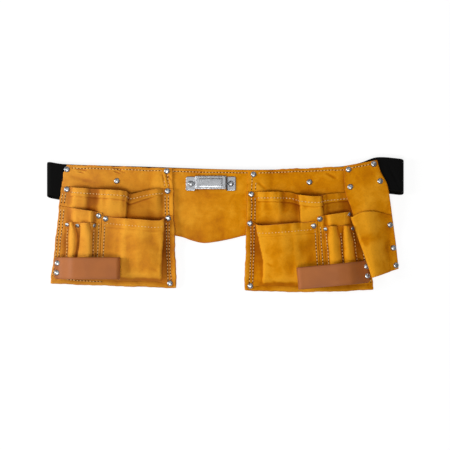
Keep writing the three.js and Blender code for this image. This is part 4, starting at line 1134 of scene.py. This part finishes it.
def pouch_piece(hand):
    """The one leather of a pouch: down its back, round the fold at its foot and up to the upper rim."""
    plan, back, front = PLANS[hand], LAYERS[hand]["back"], LAYERS[hand]["front"]
    rim = line_through(UPPER_RIMS[hand])
    creases = [np.linspace(*ends, 9) for ends in CREASES[hand]]
    across = np.unique(np.concatenate([np.linspace(0, 1, 111), *creases]))
    down = np.concatenate([np.linspace(0, 0.2, 44)[:-1], np.linspace(0.2, POUCH_FOOT, 56)])
    a, d = np.meshgrid(across, down)
    rear = back.at(a, d)
    if hand == "left":
        cut, length = CORNER_CUT
        rear[..., 0] += cut * clamp01(1 - d * POUCH_HEIGHT / length) * clamp01((a - 0.9) / 0.1)
    down = np.concatenate([np.linspace(POUCH_FOOT, FINE_FROM, 62)[:-1],
                           np.linspace(FINE_FROM, RIM_FROM, 22)[:-1], np.linspace(RIM_FROM, 0, 36)])
    a, d = np.meshgrid(across, down)
    d = np.where(d > RIM_FROM, d, mix(rim(a), RIM_FROM, d / RIM_FROM))
    face = front.at(a, d)
    out = np.zeros_like(face[0])
    out[:, 1] = -np.maximum(np.linalg.norm(rear[-1] - face[0], axis=1) / 2, POUCH_FOLD)
    grid = np.concatenate([rear, folded(rear[-1], face[0], out), face])

    # Relief and painted shade of the front: a hem along the rim, dips along the seams and painted shade in
    # its folds
    from_inner, from_outer = a * plan.width(d), (1 - a) * plan.width(d)
    from_rim = (d - rim(a)) * POUCH_HEIGHT
    from_hem = from_rim - line_through(HEM[hand])(a)
    hem = 0.95 * (1 - smooth(from_hem / 0.8)) - 0.5 * np.exp(-((from_hem - 1.4) / 1.2) ** 2)
    inside = smooth((from_inner - 15) / 3) * smooth((from_outer - 14) / 3)
    relief, shade = np.zeros(grid.shape[:2]), np.zeros(grid.shape[:2])
    relief[-len(down):] = ((hem + stitch_dip(from_rim - HEM_STITCH[hand], RIM_DIP)) * inside
                           + side_dips(from_inner, EDGE_ROWS[hand]["inner"])
                           + side_dips(from_outer, EDGE_ROWS[hand]["outer"]))
    # Painted shade in the front's folds below the upper rim, weaker on the hem, fading out below half the
    # pouch's height
    valleys = eased(VALLEYS[hand])(a) * mix(HEM_SHADE[hand], 1, smooth((from_rim - 9) / 5))
    shade[-len(down):] = valleys * inside * (1 - smooth((d - 0.5) / 0.1))
    grid, relief, shade = outward(hand, -1, grid, relief, shade)
    piece = wall(f"{hand}_pouch_leather", grid, LEATHER, SUEDE, relief=relief, shade=shade)
    dress(piece, f"{hand}_pouch")


def patch_piece(hand, name, layer, a, d, relief, node_name):
    """A patch through the places (a, d) of a pouch's layer."""
    grid, relief = outward(hand, 1, LAYERS[hand][layer].at(a, d), relief)
    dress(wall(f"{hand}_{name}", grid, LEATHER, SUEDE, relief=relief), f"{hand}_{node_name}")


def nail_patch(hand):
    rim = line_through(NAIL_RIMS[hand])
    edge = EDGES[hand]["nail"]
    a, s = np.meshgrid(np.linspace(0, edge, 96), PATCH_ROWS)
    d = mix(rim(a), mix(NAIL_CORNER, NAIL_FOOT, smooth(a / NAIL_CORNER_RUN)), s)
    width = PLANS[hand].width(d)
    from_stitch = (d - rim(a)) * POUCH_HEIGHT - NAIL_STITCH[hand]
    hem = stitch_dip(from_stitch, RIM_DIP) + 0.55 * (1 - smooth(from_stitch - NAIL_HEM_BEYOND))
    relief = (hem * smooth((a * width - 15) / 3) + side_dips((edge - a) * width, (NAIL_SIDE_STITCH,))
              + side_dips(a * width, EDGE_ROWS[hand]["inner"]))
    patch_piece(hand, "nail_pocket_leather", "nail", a, d, relief, "nail_pocket")


def tool_patch(hand):
    edge = EDGES[hand]["nail"] + PATCH_GAP
    a, s = np.meshgrid(np.linspace(edge, 1, 72), PATCH_ROWS)
    d = mix(line_through(TOOL_RIMS[hand])(a), NAIL_FOOT, s)
    width = PLANS[hand].width(d)
    relief = side_dips((a - edge) * width, (TOOL_SIDE_STITCH,))
    relief = relief + side_dips((1 - a) * width, EDGE_ROWS[hand]["outer"])
    patch_piece(hand, "tool_pocket_leather", "tool", a, d, relief, "tool_pocket")


def sleeve_patch(hand):
    share, s = np.meshgrid(np.linspace(0, 1, 72), PATCH_ROWS)
    d = mix(SLEEVE_RIM, NAIL_FOOT, s)
    inner, outer = (line_through(SEAM_LINES[hand][n])(d) + beside for n, beside in zip((0, 2), SLEEVE_SIDES))
    patch_piece(hand, "sleeve_leather", "sleeve", mix(inner, outer, share), d, 0 * d, "pencil_sleeves")


def pouch_stitches(hand):
    layers, edge = LAYERS[hand], EDGES[hand]["nail"]
    seams = Seams(f"{hand}_pouch_stitches")

    def upright(layer, start_edge, distance, start, end, lift=0.0):
        down = np.linspace(start, end, 60)
        seam_on(seams, layers[layer], start_edge + distance / PLANS[hand].width(down), down, lift)

    def beside_rim(layer, rims, distance, start, end, lift):
        across = np.linspace(start, end, 90)
        down = line_through(rims[hand])(across) + distance / POUCH_HEIGHT
        seam_on(seams, layers[layer], across, down, lift)

    for distance, back_start in zip(EDGE_ROWS[hand]["inner"], (0.05, 0.1)):
        upright("front", 0, distance, 0.225, 0.405)
        upright("nail", 0, distance, 0.445, 0.94)
        upright("back", 0, distance, back_start, 0.16)
    for distance in EDGE_ROWS[hand]["outer"]:
        upright("front", 1, -distance, 0.235, 0.335)
        upright("tool", 1, -distance, 0.365, 0.94)
    seam_between(seams, layers["back"], (0.09, TOP_STITCH / POUCH_HEIGHT), (0.93, TOP_STITCH / POUCH_HEIGHT))
    beside_rim("front", UPPER_RIMS, HEM_STITCH[hand], 0.09, 0.9, 0.6)
    beside_rim("nail", NAIL_RIMS, NAIL_STITCH[hand], 0.1, edge - 0.03, -0.1)
    upright("nail", edge, -NAIL_SIDE_STITCH, 0.47, 0.93, -0.1)
    upright("tool", edge + PATCH_GAP, TOOL_SIDE_STITCH, 0.47, 0.93, -0.1)
    down = np.linspace(0.52, 0.93, 60)
    for rows in SEAM_LINES[hand] if hand == "right" else SEAM_LINES[hand][::2]:
        seam_on(seams, layers["sleeve"], line_through(rows)(down), down)
    seam_between(seams, layers["tool"], (edge + PATCH_GAP + 0.02, FOOT_STITCH), (0.97, FOOT_STITCH))
    if hand in FOOT_SEAMS:
        seam_between(seams, layers["front"], *FOOT_SEAMS[hand])
    seams.make()


for hand in PLANS:
    pouch_piece(hand)
    nail_patch(hand)
    tool_patch(hand)
    sleeve_patch(hand)
    pouch_stitches(hand)


# Centre panel
centre_depth = line_through(CENTRE_FOOT)


def centre_at(across, down):
    run = down * CENTRE_SIDE_HEIGHT / POUCH_HEIGHT
    left, right = (plan.at(CENTRE_OVERLAP / plan.width(run), run) for plan in PLANS.values())
    belly = CENTRE_BELLY * centre_depth(across) * down
    return mix(left[0], right[0], across), mix(left[1], right[1], across) - belly


def centre_layer():
    across, down = np.meshgrid(np.linspace(0, 1, 161), np.linspace(0, 1, 121))
    x, y = centre_at(across, down)
    free = smooth(across * 5) * smooth((1 - across) * 5)
    swell = 0.5 * (1 + ripple(x, y, 40, 41)) * free * smooth((down - 0.35) / 0.2)
    return Layer(stack(x, y, rest_height(x, y) + LEATHER / 2 + swell))


def centre_piece():
    layer = centre_layer()
    across, down = np.meshgrid(np.linspace(1, 0, 90), np.linspace(0, 1, 78))
    relief = stitch_dip(down * CENTRE_SIDE_HEIGHT - TOP_STITCH, RIM_DIP)
    dress(wall("centre_panel_leather", layer.at(across, down), LEATHER, SUEDE, relief=relief),
          "centre_panel")
    seams = Seams("centre_panel_stitches")
    down = TOP_STITCH / CENTRE_SIDE_HEIGHT
    seam_between(seams, layer, (0.06, down), (0.94, down))
    seams.make()


centre_piece()


# Straps
def strip(name, path, width, thickness, top_edge, materials, node_name, shape, cells=24):
    """A strip along a path of (x, z) points, reaching down from its top edge; shape finishes its points."""
    x, s = np.meshgrid(path[:, 0], np.linspace(0, 1, cells + 1), indexing="ij")
    z = np.repeat(path[:, 1:], cells + 1, axis=1)
    points = shape(stack(x, top_edge(x, z) - s * width, z))
    return dress(wall(name, points, thickness, materials), node_name)


def rounded_path(points, radius, count=6):
    """A polyline whose corners are turned into arcs."""
    points = np.asarray(points, float)
    made = [points[0]]
    for before, corner, after in zip(points[:-2], points[1:-1], points[2:]):
        u, v = unit(before - corner), unit(after - corner)
        angle = math.acos(float(np.clip(u @ v, -1, 1)))
        reach = min(radius / math.tan(angle / 2), 0.45 * np.linalg.norm(before - corner),
                    0.45 * np.linalg.norm(after - corner))
        start, end = corner + u * reach, corner + v * reach
        t = np.linspace(0, 1, count)[:, None]
        made += list((1 - t) ** 2 * start + 2 * t * (1 - t) * corner + t * t * end)
    made.append(points[-1])
    return np.array(made)


def refined(path, step):
    """The same polyline with points no further apart than step."""
    path = np.asarray(path, float)
    run = np.concatenate([[0], np.cumsum(np.linalg.norm(np.diff(path, axis=0), axis=1))])
    places = np.sort(np.concatenate([run, np.arange(0, run[-1], step)]))
    places = places[np.concatenate([[True], np.diff(places) > step / 4])]
    return np.stack([np.interp(places, run, path[:, n]) for n in range(path.shape[1])], 1)


# Tape clip: tabs with rounded corners, and a bridge with a shallow raised panel
CLIP_CORNER = 2.6
CLIP_BEND_ROUND = 1.6
CLIP_PANEL_RISE = 0.3
CLIP_PANEL_INSET = (5, 3.6)
CLIP_PANEL_EDGE = (1.6, 1.4)
CLIP_BRIDGE_SHARE = 0.93
CLIP_BRIDGE_SHIFT = 1.6
clip_top = centre_at(0.5, 0)
CLIP_AT = (clip_top[0] + CLIP_OFFSET, clip_top[1] - CLIP_BELOW_TOP, BELT_TOP_FACE + LEATHER + 2 * GAP)
CLIP_BEND = CLIP_LENGTH / 2 - CLIP_TAB


def clip_path():
    base = CLIP_STEEL / 2
    half = [(CLIP_LENGTH / 2, base), (CLIP_BEND + CLIP_SLANT, base), (CLIP_BEND, base + CLIP_RISE)]
    return [(-x, z) for x, z in half] + half[::-1]


def clip_shape(points):
    x, y, z = np.moveaxis(points, -1, 0)
    from_end = CLIP_LENGTH / 2 - np.abs(x)
    cut = CLIP_CORNER - np.sqrt(np.maximum(CLIP_CORNER**2 - np.maximum(CLIP_CORNER - from_end, 0) ** 2, 0))
    half = CLIP_WIDTH / 2
    y = y * (1 - cut / half)
    panel = (smooth((CLIP_BEND - CLIP_PANEL_INSET[0] - np.abs(x)) / CLIP_PANEL_EDGE[0])
             * smooth((half - CLIP_PANEL_INSET[1] - np.abs(y)) / CLIP_PANEL_EDGE[1]))
    bridge = smooth((CLIP_BEND + CLIP_SLANT - np.abs(x)) / CLIP_SLANT)
    y = y * mix(1, CLIP_BRIDGE_SHARE, bridge) + CLIP_BRIDGE_SHIFT * bridge
    return stack(x, y, z + CLIP_PANEL_RISE * panel) + CLIP_AT


strip("tape_clip_steel", refined(rounded_path(clip_path(), CLIP_BEND_ROUND), 0.7), CLIP_WIDTH, CLIP_STEEL,
      lambda x, z: CLIP_WIDTH / 2, [CLIP_LOOK], "tape_clip", clip_shape, cells=34)


# Waist belt
BELT_CREASE = ((242.5, 93), (261.4, 54), 2.2, 0.9)


def belt_path():
    """The flattened loop, from the fastening round its right end, along the front and back again."""
    low, at_buckle = WEBBING / 2, BUCKLE_HEIGHT / 2
    radius = (BELT_HOLLOW + WEBBING) / 2
    turn_x = BELT_RIGHT - BELT_MIDDLE - radius - WEBBING / 2
    mouth = BUCKLE_LENGTH / 2 + BUCKLE_LEAD
    half = [(BUCKLE_LENGTH / 2 - BUCKLE_MOUTH + GAP, at_buckle), (mouth, at_buckle)]
    half += [(mouth + k * BUCKLE_RAMP, mix(at_buckle, low, smooth(k))) for k in np.linspace(0.1, 1, 10)]
    half += [(mix(mouth + BUCKLE_RAMP, turn_x, k), low) for k in (0.4, 0.75)]
    half += [(turn_x + radius * math.cos(t), low + radius + radius * math.sin(t))
             for t in np.linspace(-math.pi / 2, math.pi / 2, 17)]
    front = [(x, low + 2 * radius) for x in np.linspace(turn_x, -turn_x, 60)[1:-1]]
    loop = half + front + [(-x, z) for x, z in half][::-1]
    return [(BELT_MIDDLE + x, z) for x, z in loop]


def belt_edge(x, z):
    return belt_top(x) - BACK_RUN_DROP * (1 - clamp01(z / BELT_TOP_FACE))


def belt_shape(points):
    """A diagonal fold across the front run, beside the side holster."""
    x, y, z = np.moveaxis(points, -1, 0)
    return stack(x, y, z + groove(x, y, *BELT_CREASE) * smooth((z / BELT_TOP_FACE - 0.6) / 0.2))


strip("waist_belt_webbing", refined(belt_path(), 1.8), BELT_WIDTH, WEBBING, belt_edge, [WEBBING_LOOK],
      "waist_belt", belt_shape, cells=40)


# Belt fastening: one plain closed piece, softly rounded, with a mouth at each end
BUCKLE_ROUND = 1.6
BUCKLE_ROUND_SHARE = 0.05


def buckle_piece():
    half, mouth, middle = BUCKLE_LENGTH / 2, WEBBING / 2 + GAP, BUCKLE_HEIGHT / 2
    inner, chamfer = half - BUCKLE_MOUTH, BUCKLE_CHAMFER
    right = [(half - chamfer, 0), (half, chamfer), (half, middle - mouth), (inner, middle - mouth),
             (inner, middle + mouth), (half, middle + mouth), (half, BUCKLE_HEIGHT - chamfer),
             (half - chamfer, BUCKLE_HEIGHT)]
    outline = right + [(-x, z) for x, z in right][::-1]
    points = []
    for s in (0, 0.015, BUCKLE_ROUND_SHARE, *np.linspace(0.1, 0.9, 17), 1 - BUCKLE_ROUND_SHARE, 0.985, 1):
        near_end = 1 - min(1, min(s, 1 - s) / BUCKLE_ROUND_SHARE)
        inset = BUCKLE_ROUND * (1 - math.sqrt(1 - near_end**2))
        points += [(BELT_MIDDLE + x - math.copysign(inset, x), BUCKLE_TOP - s * BUCKLE_WIDTH,
                    mix(z, middle, inset / 6)) for x, z in outline]
    n, last = len(outline), len(points) - len(outline)
    faces = [[k + i, k + n + i, k + n + (i + 1) % n, k + (i + 1) % n]
             for k in range(0, last, n) for i in range(n)]
    faces += [list(range(n)), list(range(last, last + n))[::-1]]
    dress(make_object("belt_buckle_plastic", points, faces, [PLASTIC], smooth_faces=False),
          "belt_buckle")


buckle_piece()


# Hammer loops
LOOP_CORNER = 3.4


def evened(values, reach, spread, mode, **padding):
    """The values, each averaged with up to reach neighbours on both sides."""
    weights = np.exp(-(np.arange(-reach, reach + 1) / spread) ** 2)
    return np.convolve(np.pad(values, reach, mode=mode, **padding), weights / weights.sum(), "valid")


def taut(points):
    """The line a stiff strap takes over these points: straight across every hollow."""
    kept = [(s, z) for s, z in points if s < LOOP_SEAT]
    held = len(kept)
    for s, z in points[held:]:
        while len(kept) > held + 1 and (z - kept[-2][1]) * (kept[-1][0] - kept[-2][0]) >= (
                kept[-1][1] - kept[-2][1]) * (s - kept[-2][0]):
            kept.pop()
        kept.append((s, z))
    stops = [s for s, _ in points]
    line = np.interp(stops, *zip(*kept))
    return list(zip(stops, evened(line, 6, 3.0, "reflect", reflect_type="odd")))


def loop_path(hand, place):
    """A strap over the pouch and back over itself, as (distance from its riveted end, height)."""

    def beneath(s):
        v = np.linspace(-LOOP_WIDTH / 2, LOOP_WIDTH / 2, 9)
        return float(stack_top(hand, *place(s, v)).max())

    def seat(s):
        start, end = (s - LOOP_RAMP / 3, s + LOOP_RAMP / 3) if s > LOOP_SEAT else (0, LOOP_SEAT)
        return max(beneath(v) for v in np.linspace(start, end, 7)) + GAP + LOOP_CLEARANCE + LOOP_LEATHER / 2

    radius = (LOOP_HOLLOW + GAP + LOOP_LEATHER) / 2
    turn_at = LOOPS[hand]["length"] * POUCH_TOP_WIDTH - radius - LOOP_LEATHER / 2
    stops = np.linspace(0, turn_at, 70)
    lower = list(zip(stops, evened([seat(s) for s in stops], 14, 6.0, "edge")))
    end = lower[-1][1]
    bend = [(turn_at + radius * math.cos(a), end + radius + radius * math.sin(a))
            for a in np.linspace(-math.pi / 2, math.pi / 2, 15)[1:-1]]
    upper = taut([(s, z + LOOP_LEATHER + GAP + LOOP_HOLLOW * float(smooth((s - LOOP_SEAT) / LOOP_RAMP)))
                  for s, z in lower])[::-1]
    return lower + bend + upper


def hammer_loop(hand):
    """Makes a loop and gives back the height of its riveted end."""
    row = LOOPS[hand]
    anchor_x, anchor_y = PLANS[hand].at(row["across"], row["down"])
    turn, side = math.radians(row["slope"]), -POUCHES[hand]["side"]
    inward_x, inward_y = side * math.cos(turn), side * math.sin(turn)

    def place(s, v):
        return anchor_x + inward_x * s - inward_y * v, anchor_y + inward_y * s + inward_x * v

    def shape(points):
        """Rounded corners at the riveted end, then the strap in its place."""
        s, v, z = np.moveaxis(points, -1, 0)
        cut = LOOP_CORNER - np.sqrt(LOOP_CORNER**2 - np.clip(LOOP_CORNER - s, 0, LOOP_CORNER) ** 2)
        return stack(*place(s, v * (1 - 2 * cut / LOOP_WIDTH)), z)

    path = loop_path(hand, place)
    strip(f"{hand}_hammer_loop_strap", refined(path, 1.4), LOOP_WIDTH, LOOP_LEATHER,
          lambda x, z: LOOP_WIDTH / 2, STRAP, f"{hand}_hammer_loop", shape)
    return path[-1][1]


LOOP_TOPS = {hand: hammer_loop(hand) for hand in PLANS}


# Side holster
# Room between the holster and the hammer loop below it, and the share down of its row of stitches
HOLSTER_STRAP_ROOM = 1.6
HOLSTER_STITCH = 0.028


def holster_seats():
    """Height of the holster's inner edge at each level, and the share of its width that lies on the pouch."""
    foot_rest = LOOP_TOPS["right"] + LOOP_LEATHER / 2 + HOLSTER_STRAP_ROOM + GAP
    heights, edges = [], []
    for down in HOLSTER_LEVELS:
        shares = np.linspace(0, 0.6, 13)
        near = clamp01(np.linspace(down - HOLSTER_SPAN, down + HOLSTER_SPAN, 5))
        over = stack_top("right", *holster_at(*np.meshgrid(shares, near))).max(axis=0)
        edges.append((down, float(max([s for s, z in zip(shares, over) if z > 0] + [0]))))
        foot = foot_rest if down > HOLSTER_LOOP_FROM else 0
        heights.append((down, max(float(over.max()) + HOLSTER_CLEARANCE, foot) + GAP + LEATHER / 2))
    return line_through(heights), line_through(edges)


def holster_layers():
    height, overlap = holster_seats()
    x, y = holster_at(ACROSS, DOWN)
    away = (ACROSS - overlap(DOWN) - 0.04) / 0.62
    away = mix(smooth(away), clamp01(away), 0.5)
    z = mix(height(DOWN), rest_height(x, y) + LEATHER / 2, away)
    free = smooth(ACROSS * 6) * smooth((1 - ACROSS) * 6)
    z = z + 0.6 * (1 + ripple(x, y, 36, 51)) * free * away
    back = Layer(stack(x, y, z), 6)
    seam = 1 - HOLSTER_SEAM / HOLSTER_WIDTH
    lift = mix(HOLSTER_FOLD, HOLSTER_DEPTH, smooth(ACROSS / 0.35)) * smooth((seam - ACROSS) / 0.5)
    lift = lift + 0.5 * ripple(x, y, 30, 52) * clamp01(lift / 4)
    return back, back.raised(lift)


def holster_piece():
    """One leather: across the back to its inner edge, round the fold there and back over the front."""
    levels = np.concatenate([np.linspace(0, HOLSTER_MOUTH, 50)[:-1], np.linspace(HOLSTER_MOUTH, 1, 64)])
    shares = np.linspace(0, 1, 48)
    a, d = np.meshgrid(shares, levels)
    rear = HOLSTER_BACK.at(a, d)[:, ::-1]
    share = (d - HOLSTER_MOUTH) / (1 - HOLSTER_MOUTH)
    face = HOLSTER_FRONT.at(a, np.where(share >= 0, mix(holster_mouth(a), 1, share), d))
    low, high = rear[:, -1], HOLSTER_FRONT.at(np.zeros(len(levels)), levels)
    along = np.gradient(low, axis=0)
    out = unit(stack(-along[:, 1], along[:, 0], 0)) * np.linalg.norm(low - high, axis=1)[:, None] / 2
    out = out * np.where(out[:, :1] > 0, -1, 1)
    grid = np.concatenate([rear, np.moveaxis(folded(low, high, out), 0, 1), face], axis=1)
    keep = np.ones((len(levels) - 1, grid.shape[1] - 1), bool)
    keep[levels[:-1] < HOLSTER_MOUTH - 1e-9, len(shares) - 1:] = False
    dress(wall("side_holster_leather", grid, LEATHER, SUEDE, keep=keep, hollows=0.0), "side_holster")
    seams = Seams("side_holster_stitches")
    seam_between(seams, HOLSTER_BACK, (0.2, HOLSTER_STITCH), (0.8, HOLSTER_STITCH))
    seams.make()


HOLSTER_BACK, HOLSTER_FRONT = holster_layers()
holster_piece()


# Rivets: a dome, a shank through all that it holds, and a smaller cap behind
UP = np.array([0.0, 0.0, 1.0])
RIVET_SIDES = 24
HEAD_PROFILE = [(0, 1), (0.3, 0.985), (0.52, 0.92), (0.7, 0.78), (0.84, 0.56), (0.94, 0.3), (1, 0.08),
                (1, -0.1)]


def rivet_spot(layer, name, across, down, place):
    """Middle of the layer where a rivet goes through it, the way out of it, and its thickness."""
    hand = "left" if name.startswith("left") else "right"
    if layer == "clip":
        x = CLIP_AT[0] + across * (CLIP_BEND + CLIP_TAB / 2)
        return np.array([x, CLIP_AT[1], CLIP_AT[2] + CLIP_STEEL / 2]), UP, CLIP_STEEL
    if layer == "loop":
        x, y, _ = LAYERS[hand]["tool"].at(across, down)
        return np.array([x, y, LOOP_TOPS[hand]]), UP, LOOP_LEATHER
    if layer == "belt":
        return np.array([place[0], place[1], BELT_TOP_FACE - WEBBING / 2]), UP, WEBBING
    if layer == "centre":
        return np.array([place[0], place[1], float(rest_height(*place[:2])) + LEATHER / 2]), UP, LEATHER
    found = {"holster_back": HOLSTER_BACK, "holster_front": HOLSTER_FRONT}.get(layer) or LAYERS[hand][layer]
    return found.at(across, down), found.up(across, down), LEATHER


def lathe(rings, centre, up, sides):
    """Rings of (radius, height) turned about an axis, closed at both ends by a point."""
    side = unit(np.cross(up, (0.0, 1.0, 0.02)))
    other = np.cross(up, side)
    turn = np.arange(sides)[:, None] * 2 * math.pi / sides
    circle = np.cos(turn) * side + np.sin(turn) * other
    first, *middle, end = [centre + up * height + radius * circle for radius, height in rings]
    points = np.concatenate([first[:1], *middle, end[:1]])
    last = len(points) - 1
    faces = [[0, 1 + i, 1 + (i + 1) % sides] for i in range(sides)]
    faces += [[k + i, k + sides + i, k + sides + (i + 1) % sides, k + (i + 1) % sides]
              for k in range(1, last - sides, sides) for i in range(sides)]
    faces += [[last - sides + i, last, last - sides + (i + 1) % sides] for i in range(sides)]
    return points, faces


def rivet(name, across, down, held):
    top, up, wall_top = rivet_spot(held[0], name, across, down, None)
    bottom, _, wall_low = rivet_spot(held[-1], name, across, down, top)
    depth = float((top - bottom) @ up) + (wall_top + wall_low) / 2 + 0.3
    radius = RIVET_SMALL if name in SMALL_RIVETS else RIVET_HEAD
    rise, behind = RIVET_RISE * radius / RIVET_HEAD, radius * RIVET_BACK_SHARE
    rings = [(radius * r, rise * h) for r, h in HEAD_PROFILE]
    rings += [(RIVET_SHANK, -0.12), (RIVET_SHANK, -depth), (behind, -depth - 0.05),
              (behind * 0.75, -depth - 0.5), (0, -depth - 0.65)]
    points, faces = lathe(rings, top + up * (wall_top / 2 + 0.1), up, RIVET_SIDES)
    dress(make_object(f"cap_{name}", points, faces, [RIVET_LOOK]), f"rivet_{name}")


for name, across, down, held in RIVETS:
    rivet(name, across, down, held.split())


# Floor and light, in metres and watts
FLOOR_REACH = 6.0
FLOOR_Z = -0.0004
LIGHTS = {
    "main_light": dict(place=(-0.3, -0.9, 2.9), size=(1.2, 0.9), power=42),
    "left_light": dict(place=(-1.9, 0.1, 1.1), size=(0.6, 0.8), power=30),
    "fill_light": dict(place=(0.9, 1.4, 2.2), size=(1.0, 0.8), power=8),
}
WORLD_STRENGTH = 0.16


def floor_piece():
    mesh = bpy.data.meshes.new("floor")
    corners = [(x * FLOOR_REACH, y * FLOOR_REACH, FLOOR_Z) for x, y in ((-1, -1), (1, -1), (1, 1), (-1, 1))]
    mesh.from_pydata(corners, [], [[0, 1, 2, 3]])
    look = Look("pale_floor", (0.16, 0.16, 0.16), 0.9, Emission_Color=(1, 1, 1), Emission_Strength=0.86)
    mesh.materials.append(look.material)
    added("floor", mesh)


def area_light(name, place, size, power):
    data = bpy.data.lights.new(name, "AREA")
    data.shape = "RECTANGLE"
    data.size, data.size_y = size
    data.energy = power
    light = added(name, data)
    light.location = place
    light.rotation_euler = (-Vector(place)).to_track_quat("-Z", "Y").to_euler()


floor_piece()
for name, values in LIGHTS.items():
    area_light(name, **values)
world = bpy.data.worlds.new("studio")
bpy.context.scene.world = world
world.use_nodes = True
world.node_tree.nodes["Background"].inputs["Color"].default_value = (1, 1, 1, 1)
world.node_tree.nodes["Background"].inputs["Strength"].default_value = WORLD_STRENGTH
bpy.context.scene.view_settings.view_transform = "Standard"
